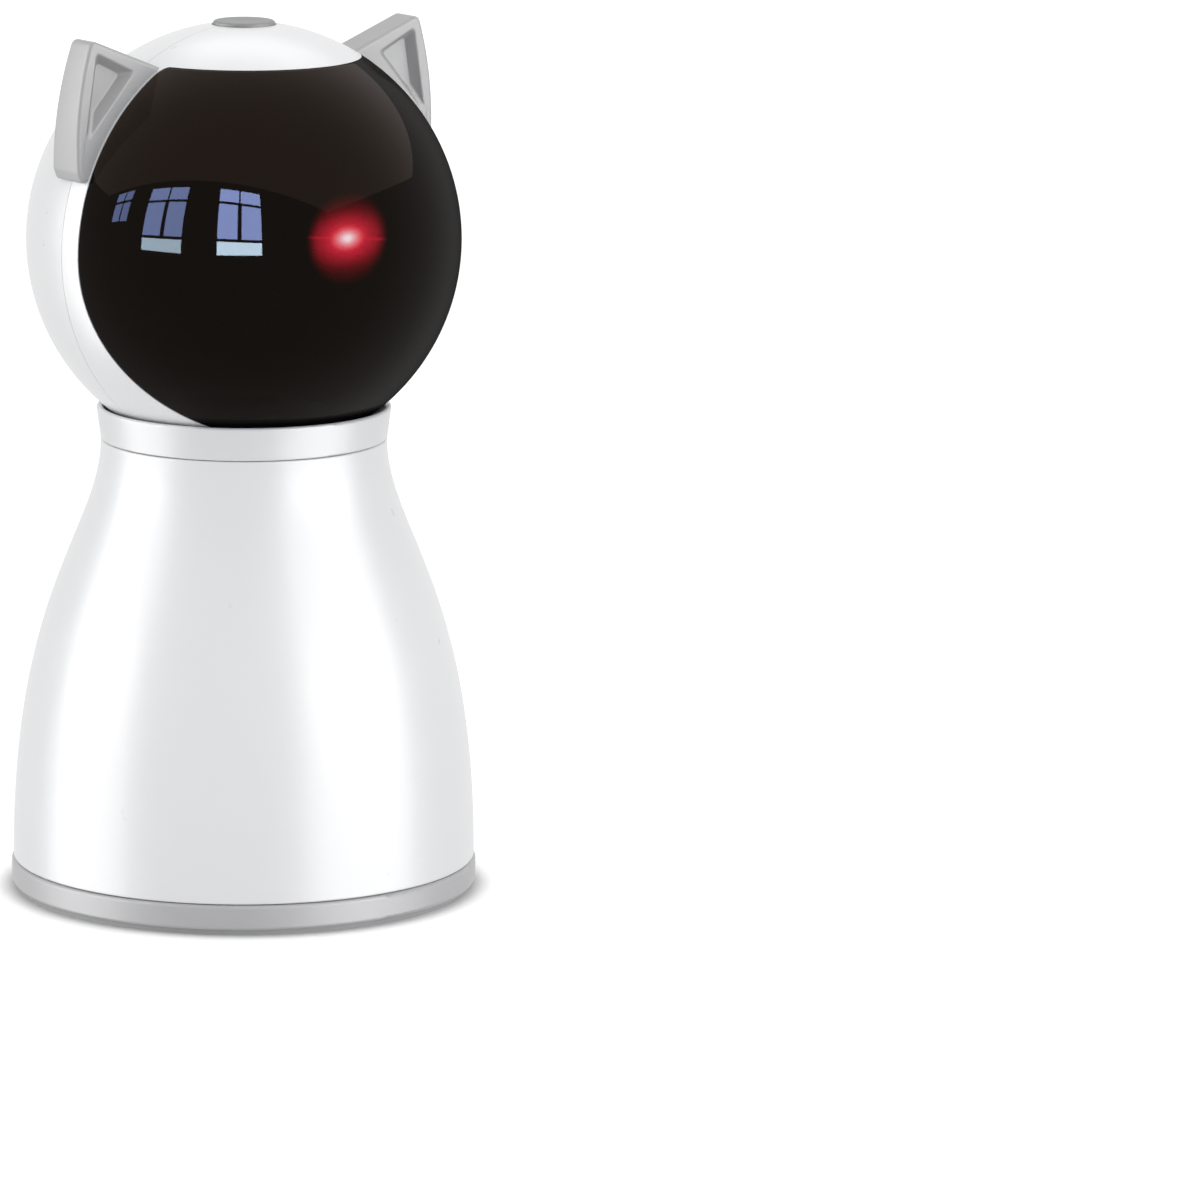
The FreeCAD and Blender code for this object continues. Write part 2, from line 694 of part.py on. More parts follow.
def make_body_shell():
    body = document.addObject("PartDesign::Body", "bell")
    sketch = new_sketch(body, "bell_profile", "XZ_Plane")
    outside = bell_curve(sketch, "0", True)
    inside = bell_curve(sketch, "bell_wall", False)
    for first, second in ((outside, inside), (inside, outside)):
        start, end = sketch.getPoint(first, 2), sketch.getPoint(second, 1)
        rim = sketch.addGeometry(Part.LineSegment(start, end), False)
        sketch.addConstraint(Sketcher.Constraint("Coincident", first, 2, rim, 1))
        sketch.addConstraint(Sketcher.Constraint("Coincident", rim, 2, second, 1))
    revolution = body.newObject("PartDesign::Revolution", "bell_revolution")
    revolution.Profile = sketch
    revolution.ReferenceAxis = (sketch, ["V_Axis"])
    revolution.Angle = 360
    wide = number(BELL_FOOT)
    narrow = number("bell_top_radius")
    wall = number("bell_wall")

    def is_outer_rim(edge):
        radius = edge.BoundBox.XLength / 2
        return edge.Closed and min(abs(radius - wide), abs(radius - narrow)) < wall / 4

    edged = rounded("bell_edged", body, "bell_edge_round", is_outer_rim)
    shelf = ring("collar_shelf_ring", "collar_shelf_bore", "bell_top_radius - bell_wall / 2",
                 f"{SHELF_TOP} - collar_shelf", "collar_shelf")
    bosses = []
    holes = []
    for index, (x, y, angle) in enumerate(cover_spots()):
        foot = f"{COVER_TOP} + fit_gap"
        bosses.append(rod(f"shell_boss_{index}", "cover_boss_radius", "cover_boss_height", (x, y, foot)))
        rib_foot = f"{RIM_TOP} + spigot_height + fit_gap"
        rib_height = f"{foot} + cover_boss_height - ({rib_foot})"
        bosses.append(spoke(f"shell_rib_{index}", COVER_CIRCLE, f"{BELL_FOOT} - bell_wall * 0.7",
                            "boss_rib_width", rib_foot, rib_height, angle))
        holes.append(rod(f"shell_boss_hole_{index}", THREAD, "screw_length", (x, y, foot)))
    for index, (x, y, _) in enumerate(collar_spots()):
        holes.append(rod(f"shelf_hole_{index}", CLEARANCE_HOLE, "collar_shelf * 2",
                         (x, y, f"{SHELF_TOP} - collar_shelf * 1.5")))
    holes.append(port_slot())
    node(cut("bell_cut", fuse("bell_whole", edged, shelf, *bosses), *holes), "body_shell")


def port_slot():
    """Rounded slot in the rear of the bell for the charging plug."""
    height = "(port_height + 2 * fit_gap)"
    straight = f"(port_width + 2 * fit_gap - {height})"
    middle = f"({MAIN_BOARD_TOP} + port_height / 2)"
    start = f"{BELL_FOOT} - bell_wall * 2"
    through = "bell_wall * 3"
    ends = [rod(f"slot_end_{side}", f"{height} / 2", through,
                (f"{sign} * {straight} / 2", start, middle), ALONG_Y)
            for side, sign in (("left", "-1"), ("right", "1"))]
    span = block("slot_middle", (f"0 - {straight} / 2", start, f"{middle} - {height} / 2"),
                 (straight, through, height))
    return fuse("port_slot", span, *ends)


def collar_spots():
    return around("collar_screw_count", "collar_boss_circle", first="90")


def make_collar():
    inner = f"({COLLAR_SPIGOT} - collar_wall)"
    mouth = f"({LIP_RADIUS} - lip_width)"
    hole = "(bush_radius + seat_gap)"
    base = "(bell_top_radius + seat_gap)"
    shell = turned("collar_shell", [
        (inner, COLLAR_FOOT),
        (COLLAR_SPIGOT, COLLAR_FOOT),
        (COLLAR_SPIGOT, COLLAR_BOTTOM),
        (f"{base} - bell_edge_round", COLLAR_BOTTOM, "bell_edge_round"),
        (base, f"{COLLAR_BOTTOM} + bell_edge_round"),
        (LIP_RADIUS, f"{COLLAR_TOP} - lip_round", "lip_round"),
        (f"{LIP_RADIUS} - lip_round", COLLAR_TOP),
        (f"{mouth} + lip_round", COLLAR_TOP, "lip_round"),
        (mouth, f"{COLLAR_TOP} - lip_round"),
        (mouth, CUP_TOP),
        (hole, CUP_TOP),
        (hole, f"{CUP_TOP} - cup_floor"),
        (inner, f"{CUP_TOP} - cup_floor")])
    bosses = []
    holes = []
    screws = []
    for index, (x, y, _) in enumerate(collar_spots()):
        height = f"{CUP_TOP} - cup_floor - {COLLAR_FOOT} + seat_gap"
        bosses.append(rod(f"collar_boss_{index}", "collar_boss_radius", height, (x, y, COLLAR_FOOT)))
        holes.append(rod(f"collar_hole_{index}", THREAD, "screw_length * 0.7", (x, y, COLLAR_FOOT)))
        screws.append(screw(f"collar_screw_{index}", (x, y, f"{SHELF_TOP} - collar_shelf"),
                            length="screw_length * 0.8"))
    reach = "(90 + swivel_limit + stop_lug_angle / 2 + stop_play_angle)"
    stops = []
    for side, start in (("left", reach), ("right", f"180 - {reach} - stop_rib_angle")):
        stops.append(sector(f"stop_{side}", "bush_flange_radius + stop_gap",
                            "bush_flange_radius + stop_gap + collar_wall",
                            f"{CUP_TOP} - seat_gap", "stop_height + seat_gap", start, "stop_rib_angle"))
    whole = fuse("collar_whole", shell, *bosses, *stops)
    node(cut("collar", whole, *holes), "collar_ring")
    node(group("collar_screw_group", screws), "collar_screws")


def make_swivel_bush():
    bore = "stem_radius + running_fit"
    node(turned("bush", [
        (bore, BUSH_BOTTOM),
        ("bush_radius", BUSH_BOTTOM),
        ("bush_radius", CUP_TOP),
        ("bush_flange_radius", CUP_TOP),
        ("bush_flange_radius", BUSH_TOP),
        (bore, BUSH_TOP)]), "swivel_bush")


# ---------------------------------------------------------------- electronics in the base

def board_spots():
    """Middles of the four posts under the main board."""
    near = f"{BOARD_FRONT} + standoff_inset"
    far = f"{BOARD_FRONT} + {BOARD_DEPTH} - standoff_inset"
    side = "main_board_width / 2 - standoff_inset"
    return [(f"{sign}({side})", y) for sign in ("0 - ", "0 + ") for y in (near, far)]


def strap_spots():
    """Rules for y of the two posts that hold the battery strap."""
    return [f"{CELL_Y} - {STRAP_REACH}", f"{CELL_Y} + {STRAP_REACH}"]


def make_main_board():
    sheet_board = block("board_blank", ("0 - main_board_width / 2", BOARD_FRONT, "main_board_height"),
                        ("main_board_width", BOARD_DEPTH, "board_thickness"))
    holes = [rod(f"board_hole_{index}", CLEARANCE_HOLE, "board_thickness * 3",
                 (x, y, "main_board_height - board_thickness"))
             for index, (x, y) in enumerate(board_spots())]
    node(cut("board", sheet_board, *holes), "main_board")
    screws = [screw(f"board_screw_{index}", (x, y, MAIN_BOARD_TOP), DOWNWARDS)
              for index, (x, y) in enumerate(board_spots())]
    node(group("board_screw_group", screws), "board_screws")
    chip_y = f"{BOARD_FRONT} + ({BOARD_DEPTH} - control_chip_size) / 2 + control_chip_shift"
    node(block("control_blank", ("0 - control_chip_size / 2", chip_y, MAIN_BOARD_TOP),
               ("control_chip_size", "control_chip_size", "control_chip_height")), "control_chip")
    node(block("driver_blank", ("driver_chip_width", f"{BOARD_FRONT} + driver_chip_width", MAIN_BOARD_TOP),
               ("driver_chip_length", "driver_chip_width", "driver_chip_height")), "driver_chip")
    node(block("plug_blank", (f"{CONNECTOR_X} - connector_width / 2", f"{BOARD_FRONT} + board_edge_gap",
                              MAIN_BOARD_TOP), ("connector_width", "connector_depth", "connector_height")),
         "board_connector")


def make_charging_port():
    mouth = f"({BELL_FOOT} - port_set_back)"
    radius = "(port_height / 2)"
    bodies = []
    for label, shrink, start in (("shell", "0", PORT_BACK),
                                 ("cavity", "port_wall", f"{PORT_BACK} + port_wall")):
        height = f"({radius} - {shrink})"
        straight = "(port_width - port_height)"
        middle = f"({MAIN_BOARD_TOP} + {radius})"
        length = f"{mouth} + {shrink} - ({start})"
        ends = [rod(f"port_{label}_{side}", height, length,
                    (f"{sign} * {straight} / 2", start, middle), ALONG_Y)
                for side, sign in (("left", "-1"), ("right", "1"))]
        span = block(f"port_{label}_span", (f"0 - {straight} / 2", start, f"{middle} - {height}"),
                     (straight, length, f"2 * {height}"))
        bodies.append(fuse(f"port_{label}", span, *ends))
    tongue = block("port_tongue_bar", ("0 - port_width / 2 + port_tongue_inset", PORT_BACK,
                                       f"{MAIN_BOARD_TOP} + {radius} - port_tongue / 2"),
                   ("port_width - 2 * port_tongue_inset", "port_depth - port_tongue_set_back",
                    "port_tongue"))
    hollow = cut("port_hollow", *bodies)
    node(fuse("port", hollow, tongue), "charging_port")


def make_battery():
    y = CELL_Y
    half = "(cell_length / 2)"
    cell = rod("cell_can", "cell_radius", "cell_length", (f"0 - {half}", y, CELL_Z), ALONG_X)
    tip = rod("cell_tip", "cell_tip_radius", "cell_tip_height", (half, y, CELL_Z), ALONG_X)
    node(fuse("cell", cell, tip), "battery_cell")
    inside = "(cell_length + 2 * cell_end_play)"
    start = f"(0 - {inside} / 2)"
    tray = block("tray_blank", (f"{start} - cradle_wall", f"{y} - battery_tray_width / 2", COVER_TOP),
                 (f"{inside} + 2 * cradle_wall", "battery_tray_width",
                  "battery_tray_height + tray_end_rise"))
    bed = rod("tray_bed", "cell_radius + seat_gap", inside, (start, y, CELL_Z), ALONG_X)
    sides = block("tray_sides", (start, f"{y} - battery_tray_width", f"{COVER_TOP} + battery_tray_height"),
                  (inside, "battery_tray_width * 2", "battery_tray_height"))
    node(cut("tray", tray, bed, sides), "battery_cradle")


def make_battery_strap():
    y = CELL_Y
    left = "(0 - strap_x - strap_width / 2)"
    outer = "(cell_radius + fit_gap + strap_thickness)"
    seat = f"({COVER_TOP} + battery_tray_height)"
    arch = rod("strap_arch", outer, "strap_width", (left, y, CELL_Z), ALONG_X)
    legs = block("strap_legs", (left, f"{y} - {outer}", seat),
                 ("strap_width", f"2 * {outer}", f"{CELL_Z} - {seat}"))
    reach = f"({outer} + 2 * standoff_radius)"
    feet = block("strap_feet", (left, f"{y} - {reach}", seat),
                 ("strap_width", f"2 * {reach}", "strap_thickness"))
    before = f"({left} - strap_thickness)"
    hollow = rod("strap_hollow", "cell_radius + fit_gap", "strap_width * 2", (before, y, CELL_Z), ALONG_X)
    below = block("strap_below", (before, f"{y} - {reach}", "0"), ("strap_width * 2", f"2 * {reach}", seat))
    slot = block("strap_slot", (before, f"{y} - cell_radius - fit_gap", "0"),
                 ("strap_width * 2", "2 * (cell_radius + fit_gap)", CELL_Z))
    holes = [rod(f"strap_foot_hole_{index}", CLEARANCE_HOLE, "strap_thickness * 3",
                 ("0 - strap_x", spot, f"{seat} - strap_thickness"))
             for index, spot in enumerate(strap_spots())]
    node(cut("strap", fuse("strap_whole", arch, legs, feet), hollow, below, slot, *holes), "battery_strap")
    screws = [screw(f"strap_screw_{index}", ("0 - strap_x", spot, f"{seat} + strap_thickness"), DOWNWARDS)
              for index, spot in enumerate(strap_spots())]
    node(group("strap_screw_group", screws), "strap_screws")


# ---------------------------------------------------------------- chassis of the head

def make_chassis():
    groove = "(stem_radius - clip_groove)"
    top_groove = "(spindle_radius - clip_groove)"
    top_clip = f"({YOKE_FLOOR} + slide_gap)"
    shell = turned("chassis_shell", [
        ("stem_bore", f"{CLIP_TOP} - 3 * clip_thickness"),
        ("stem_radius", f"{CLIP_TOP} - 3 * clip_thickness"),
        ("stem_radius", f"{CLIP_TOP} - clip_thickness - seat_gap"),
        (groove, f"{CLIP_TOP} - clip_thickness - seat_gap"),
        (groove, f"{CLIP_TOP} + seat_gap"),
        ("stem_radius", f"{CLIP_TOP} + seat_gap"),
        ("stem_radius", HUB_BOTTOM),
        ("hub_flange", HUB_BOTTOM),
        ("hub_flange", f"{HUB_BOTTOM} + bush_flange * 2"),
        ("hub_radius", f"{HUB_BOTTOM} + bush_flange * 2"),
        ("hub_radius", HEAD_SHELF),
        ("chassis_radius", HEAD_SHELF),
        ("chassis_radius", PLATE_TOP),
        ("spindle_shoulder", PLATE_TOP),
        ("spindle_shoulder", f"{PAN_GEAR_BOTTOM} - slide_gap"),
        ("spindle_radius", f"{PAN_GEAR_BOTTOM} - slide_gap"),
        ("spindle_radius", f"{top_clip} - seat_gap"),
        (top_groove, f"{top_clip} - seat_gap"),
        (top_groove, f"{top_clip} + spindle_clip + seat_gap"),
        ("spindle_radius", f"{top_clip} + spindle_clip + seat_gap"),
        ("spindle_radius", f"{top_clip} + 2 * spindle_clip"),
        ("spindle_bore", f"{top_clip} + 2 * spindle_clip"),
        ("spindle_bore", PLATE_TOP),
        ("stem_bore", HEAD_SHELF)])
    lug = sector("stop_lug", "stem_radius", "bush_flange_radius + stop_gap + collar_wall - fit_gap",
                 f"{CUP_TOP} + bush_flange + 3 * slide_gap",
                 f"{PLATE_TOP} - {BUSH_TOP} - 3 * slide_gap - seat_gap",
                 "90 - stop_lug_angle / 2", "stop_lug_angle")
    posts = [rod(f"motor_post_{index}", "board_post_radius", "pan_motor_length + seat_gap",
                 (f"{sign} * motor_ear_reach", PAN_CENTRES, f"{PLATE_TOP} - seat_gap"))
             for index, sign in enumerate(("-1", "1"))]
    hole_foot = f"({PLATE_TOP} + pan_motor_length + motor_flange - screw_length)"
    holes = [rod(f"motor_post_hole_{index}", THREAD, "screw_length",
                 (f"{sign} * motor_ear_reach", PAN_CENTRES, hole_foot))
             for index, sign in enumerate(("-1", "1"))]
    for index, (x, y, _) in enumerate(chassis_spots()):
        holes.append(rod(f"chassis_hole_{index}", CLEARANCE_HOLE, "chassis_plate * 3",
                         (x, y, f"{PLATE_TOP} - chassis_plate * 2")))
    window = rod("wire_window", "wire_bundle * 1.4", "spindle_shoulder * 1.5", WIRE_EXIT,
                 Rotation(Vector(0, 0, 1), Vector(number("wire_side_x"), number("wire_side_y"), 0)))
    holes.append(window)
    node(cut("chassis", fuse("chassis_whole", shell, lug, *posts), *holes), "head_chassis")
    screws = [screw(f"chassis_screw_{index}", (x, y, PLATE_TOP), DOWNWARDS, length="screw_length * 0.7")
              for index, (x, y, _) in enumerate(chassis_spots())]
    node(group("chassis_screw_group", screws), "chassis_screws")


def chassis_spots():
    return around("4", "chassis_screw_circle", first="45")


def open_clip(name, inner, width, thickness, top):
    """A flat spring ring that is open on one side, for a groove."""
    outer = f"({inner} + {width})"
    whole = rod(name + "_disc", outer, thickness, ("0", "0", f"{top} - {thickness}"))
    hole = rod(name + "_hole", f"{inner} + seat_gap", f"{thickness} * 3",
               ("0", "0", f"{top} - {thickness} * 2"))
    gap = block(name + "_gap", (f"0 - {inner} * 0.8", "0", f"{top} - {thickness} * 2"),
                (f"{inner} * 1.6", outer, f"{thickness} * 3"))
    return cut(name, whole, hole, gap)


def make_clips():
    node(open_clip("neck_clip", "(stem_radius - clip_groove)", "clip_width", "clip_thickness", CLIP_TOP),
         "neck_clip")
    top = f"({YOKE_FLOOR} + slide_gap + spindle_clip)"
    node(open_clip("turret_clip", "(spindle_radius - clip_groove)", "clip_width", "spindle_clip", top),
         "spindle_clip")


def motor(name, radius, length, reach, at, turn):
    """Small geared motor: can, eared flange at the shaft end, and a bore for the shaft."""
    can = rod(name + "_can", radius, length)
    cap = rod(name + "_cap", radius, "motor_flange", ("0", "0", length))
    ears = block(name + "_ears", (f"0 - {reach} - motor_ear_width / 2", "0 - motor_ear_width / 2", length),
                 (f"2 * {reach} + motor_ear_width", "motor_ear_width", "motor_flange"))
    bore = rod(name + "_bore", "motor_shaft + running_fit", "shaft_in_motor + seat_gap",
               ("0", "0", f"{length} + motor_flange - shaft_in_motor"))
    holes = [rod(f"{name}_ear_hole_{index}", CLEARANCE_HOLE, "motor_flange * 3",
                 (f"{sign} * {reach}", "0", f"{length} - motor_flange"))
             for index, sign in enumerate(("-1", "1"))]
    return place(cut(name, fuse(name + "_whole", can, cap, ears), bore, *holes), at, turn)


def make_pan_drive():
    node(motor("pan_can", "motor_radius", "pan_motor_length", "motor_ear_reach",
               ("0", PAN_CENTRES, PLATE_TOP), UPRIGHT), "pan_motor")
    top = f"({PLATE_TOP} + pan_motor_length + motor_flange)"
    screws = [screw(f"pan_screw_{index}", (f"{sign} * motor_ear_reach", PAN_CENTRES, top), DOWNWARDS)
              for index, sign in enumerate(("-1", "1"))]
    node(group("pan_screw_group", screws), "pan_motor_screws")
    foot = f"({top} - shaft_in_motor + 2 * seat_gap)"
    end = f"({PAN_GEAR_BOTTOM} + fit_gap + pinion_width)"
    node(rod("pan_shaft", "motor_shaft", f"{end} - {foot}", ("0", PAN_CENTRES, foot)), "pan_motor_shaft")
    node(gear("pan_small_gear", "pinion_teeth", "pinion_width", "motor_shaft + seat_gap",
              ("0", PAN_CENTRES, f"{PAN_GEAR_BOTTOM} + fit_gap"), Rotation(Vector(0, 0, 1), -90),
              tooth_up=False), "pan_pinion")
    wheel = gear("pan_large_gear", "pan_teeth", "pan_gear_width", "spindle_radius + running_fit",
                 ("0", "0", PAN_GEAR_BOTTOM), Rotation(Vector(0, 0, 1), 90))
    holes = [rod(f"pan_gear_hole_{index}", THREAD, "pan_gear_width * 2",
                 (x, y, f"{PAN_GEAR_BOTTOM} - pan_gear_width / 2"))
             for index, (x, y) in enumerate(yoke_screw_spots())]
    node(cut("pan_wheel", wheel, *holes), "pan_gear")
    screws = [screw(f"gear_screw_{index}", (x, y, YOKE_FLOOR), DOWNWARDS,
                    length="yoke_base + pan_gear_width * 0.75")
              for index, (x, y) in enumerate(yoke_screw_spots())]
    node(group("gear_screw_group", screws), "gear_screws")


# ---------------------------------------------------------------- turret and laser

def arm(name, back, x):
    """One upright arm of the yoke: a plate with two rounded upper corners."""
    top = "yoke_top"
    return extruded(name, "YZ_Plane", [
        ("0 - yoke_front", f"{YOKE_BOTTOM} - head_height + seat_gap"),
        (back, f"{YOKE_BOTTOM} - head_height + seat_gap"),
        (back, f"{top} - yoke_arm_round", "yoke_arm_round"),
        (f"{back} - yoke_arm_round", top),
        ("0 - yoke_front + yoke_arm_round", top, "yoke_arm_round"),
        ("0 - yoke_front", f"{top} - yoke_arm_round")], "yoke_arm", (x, "0", "head_height"))


def yoke_screw_spots():
    """One screw in front of the spindle and one behind it, from the yoke's floor into the gear."""
    reach = "(spindle_radius + 4 * screw_shank)"
    return [("0", f"0 - {reach}"), ("0", reach)]


def tilt_screw_spots():
    """The tilt motor's two screws, above and below its shaft."""
    return [(TILT_MOTOR_Y, f"{TILT_Z} + {sign} * tilt_ear_reach") for sign in ("-1", "1")]


def make_yoke():
    floor = block("yoke_floor", ("0 - yoke_half_width", "0 - yoke_front", YOKE_BOTTOM),
                  ("2 * yoke_half_width", "yoke_front + yoke_back", "yoke_base"))
    middle = "(yoke_half_width - yoke_arm / 2)"
    right = arm("yoke_right", "yoke_back", middle)
    left = arm("yoke_left", "yoke_arm_round", f"0 - {middle}")
    bore = rod("yoke_bore", "spindle_radius + running_fit", "yoke_base * 3",
               ("0", "0", f"{YOKE_BOTTOM} - yoke_base"))
    pivot = rod("yoke_pivot", "trunnion_radius + running_fit", "yoke_half_width * 3",
                ("0 - yoke_half_width * 1.5", TILT_Y, TILT_Z), ALONG_X)
    shaft = rod("yoke_shaft_hole", "motor_shaft + fit_gap * 2", "yoke_arm * 3",
                ("yoke_half_width - yoke_arm * 2", TILT_MOTOR_Y, TILT_Z), ALONG_X)
    holes = [rod(f"yoke_motor_hole_{index}", CLEARANCE_HOLE, "yoke_arm * 3",
                 ("yoke_half_width - yoke_arm * 2", y, z), ALONG_X)
             for index, (y, z) in enumerate(tilt_screw_spots())]
    holes += [rod(f"yoke_gear_hole_{index}", CLEARANCE_HOLE, "yoke_base * 3",
                  (x, y, f"{YOKE_BOTTOM} - yoke_base"))
              for index, (x, y) in enumerate(yoke_screw_spots())]
    node(cut("yoke", fuse("yoke_whole", floor, right, left), bore, pivot, shaft, *holes), "turret_yoke")


def make_tilt_drive():
    inner = "(yoke_half_width - yoke_arm)"
    back = f"({inner} - motor_flange - tilt_motor_length)"
    axle = Rotation(Vector(0, 0, -1), Vector(0, 1, 0), Vector(1, 0, 0), "XYZ")
    node(motor("tilt_can", "tilt_motor_radius", "tilt_motor_length", "tilt_ear_reach",
               (back, TILT_MOTOR_Y, TILT_Z), axle), "tilt_motor")
    inward = Rotation(Vector(0, 0, 1), Vector(0, 1, 0), Vector(-1, 0, 0), "XYZ")
    screws = [screw(f"tilt_screw_{index}", ("yoke_half_width", y, z), inward,
                    length="yoke_arm + 2 * motor_flange")
              for index, (y, z) in enumerate(tilt_screw_spots())]
    node(group("tilt_screw_group", screws), "tilt_motor_screws")
    gear_x = "(yoke_half_width + 3 * fit_gap)"
    foot = f"({inner} - shaft_in_motor + 2 * seat_gap)"
    node(rod("tilt_shaft", "motor_shaft", f"{gear_x} + tilt_gear_width - {foot}",
             (foot, TILT_MOTOR_Y, TILT_Z), ALONG_X), "tilt_motor_shaft")
    to_front = Rotation(Vector(0, -1, 0), Vector(0, 0, -1), Vector(1, 0, 0), "XYZ")
    to_back = Rotation(Vector(0, 1, 0), Vector(0, 0, 1), Vector(1, 0, 0), "XYZ")
    node(gear("tilt_small_gear", "pinion_teeth", "tilt_gear_width", "motor_shaft + seat_gap",
              (gear_x, TILT_MOTOR_Y, TILT_Z), to_front, tooth_up=False), "tilt_pinion")
    node(gear("tilt_large_gear", "tilt_teeth", "tilt_gear_width", "trunnion_radius + seat_gap",
              (gear_x, TILT_Y, TILT_Z), to_back), "tilt_gear")


def make_laser():
    half = "(cradle_width / 2)"
    body = block("cradle_body",
                 (f"0 - {half}", f"{TILT_Y} - cradle_front", f"{TILT_Z} - cradle_height / 2"),
                 ("cradle_width", "cradle_front + cradle_rear", "cradle_height"))
    inner = "(yoke_half_width - yoke_arm - fit_gap)"
    shoulders = rod("cradle_shoulders", "trunnion_radius * 1.7", f"2 * {inner}",
                    (f"0 - {inner}", TILT_Y, TILT_Z), ALONG_X)
    left = "(yoke_half_width + fit_gap)"
    pin_length = f"{left} + yoke_half_width + 3 * fit_gap + tilt_gear_width"
    pins = rod("cradle_pins", "trunnion_radius", pin_length, (f"0 - {left}", TILT_Y, TILT_Z), ALONG_X)
    bore = rod("cradle_bore", "laser_radius + seat_gap", "cradle_front * 3",
               ("0", f"{TILT_Y} - cradle_front * 1.5", TILT_Z), ALONG_Y)
    grub = rod("grub_hole", THREAD, "cradle_height", ("0", f"{TILT_Y} - cradle_front / 2", TILT_Z))
    node(cut("cradle", fuse("cradle_whole", body, shoulders, pins), bore, grub), "laser_cradle")
    grub_length = "(cradle_height / 2 - laser_radius - seat_gap)"
    node(rod("grub", "screw_shank", grub_length,
             ("0", f"{TILT_Y} - cradle_front / 2", f"{TILT_Z} + laser_radius + seat_gap")),
         "barrel_grub_screw")
    tip = "(0 - laser_tip)"
    tube = rod("laser_tube", "laser_radius", "laser_length", ("0", tip, TILT_Z), ALONG_Y)
    recess = primitive("Cone", "laser_recess", ("0", tip, TILT_Z), ALONG_Y,
                       Radius1="lens_radius + laser_bezel", Radius2="lens_radius + seat_gap",
                       Height="laser_bezel")
    seat = rod("lens_seat", "lens_radius + seat_gap", "lens_thickness",
               ("0", f"{tip} + laser_bezel", TILT_Z), ALONG_Y)
    beam = rod("beam_bore", "lens_radius * 0.6", "laser_length / 2",
               ("0", f"{tip} + laser_bezel", TILT_Z), ALONG_Y)
    node(cut("barrel", tube, recess, seat, beam), "laser_barrel")
    node(rod("lens", "lens_radius", "lens_thickness", ("0", f"{tip} + laser_bezel", TILT_Z), ALONG_Y),
         "laser_lens")


# ---------------------------------------------------------------- button on the crown

def make_button():
    foot = f"({BUTTON_TOP} - button_height)"
    flange = f"({foot} - button_flange)"
    hollow = "(button_dish_radius^2 + button_dish_depth^2) / (2 * button_dish_depth)"
    node(turned("button", [
        ("0", BUTTON_FOOT),
        ("button_stem_radius", BUTTON_FOOT),
        ("button_stem_radius", flange),
        ("button_flange_radius", flange),
        ("button_flange_radius", foot),
        ("button_radius", foot),
        ("button_radius", f"{BUTTON_TOP} - button_round", "button_round"),
        ("button_radius - button_round", BUTTON_TOP),
        ("button_dish_radius", BUTTON_TOP, f"0 - {hollow}"),
        ("0", f"{BUTTON_TOP} - button_dish_depth")]), "button_cap")
    node(rod("plunger", "plunger_radius", "plunger_length", ("0", "0", f"{BUTTON_FOOT} - plunger_length")),
         "switch_plunger")


def button_board_spots():
    return [(f"{sign} * board_post_x", "board_post_y") for sign in ("-1", "1")]


def make_button_switch():
    case = block("switch_case", ("0 - switch_size / 2", "0 - switch_size / 2", BUTTON_BOARD_TOP),
                 ("switch_size", "switch_size", "switch_height"))
    depth = "(plunger_length - plunger_show + button_travel + slide_gap * 2)"
    bore = rod("switch_bore", "plunger_radius + running_fit", f"{depth} * 2",
               ("0", "0", f"{SWITCH_TOP} - {depth}"))
    node(cut("switch", case, bore), "button_switch")
    corner = ("0 - button_board_length / 2", "button_board_shift - button_board_depth / 2",
              f"{BUTTON_BOARD_TOP} - board_thickness")
    sheet_board = block("button_board_blank", corner,
                        ("button_board_length", "button_board_depth", "board_thickness"))
    holes = [rod(f"button_board_hole_{index}", CLEARANCE_HOLE, "board_thickness * 3",
                 (x, y, f"{BUTTON_BOARD_TOP} - board_thickness * 2")) for index, (x, y) in
             enumerate(button_board_spots())]
    node(cut("button_board", sheet_board, *holes), "button_board")
    screws = [screw(f"button_board_screw_{index}", (x, y, f"{BUTTON_BOARD_TOP} - board_thickness"))
              for index, (x, y) in enumerate(button_board_spots())]
    node(group("button_board_screw_group", screws), "button_board_screws")


# ---------------------------------------------------------------- shells, visor and ears

def half_space(name, side):
    """Everything behind (side 1) or before (side -1) the seam, above the bottom opening."""
    size = "(2 * head_radius)"
    start = "joint_line / 2" if side > 0 else f"0 - joint_line / 2 - {size}"
    return block(name, (f"0 - {size}", start, HEAD_OPENING), (f"2 * {size}", size, f"2 * {size}"))


def visor_window(name, grow):
    """The visor's outline seen from the side, run through the whole head.

    A straight edge falls from the flat top to the middle of the head, and sweeps
    forward below it in a wide arc.  grow moves the outline outwards."""
    body = document.addObject("PartDesign::Body", name)
    sketch = new_sketch(body, name + "_outline", "YZ_Plane")
    edge = f"(0 - visor_edge + {grow})"
    radius = f"(visor_side_arc + {grow})"
    centre = "(0 - visor_edge - visor_side_arc)"
    depth = "(head_radius * 0.95)"
    front = "(0 - head_radius * 1.3)"
    low = f"({centre} + sqrt({radius}^2 - {depth}^2))"
    top = f"(visor_top + {grow})"
    draw_loop(sketch, [
        (front, f"0 - {depth}"),
        (low, f"0 - {depth}", radius),
        (edge, "0"),
        (edge, f"{top} - visor_corner", "visor_corner"),
        (f"{edge} - visor_corner", top),
        (front, top)])
    document.recompute()
    pad = body.newObject("PartDesign::Pad", name + "_pad")
    pad.Profile = sketch
    pad.SideType = "Symmetric"
    bind(pad, "Length", "2.2 * head_radius")
    return place(body, ("0", "0", "head_height"))


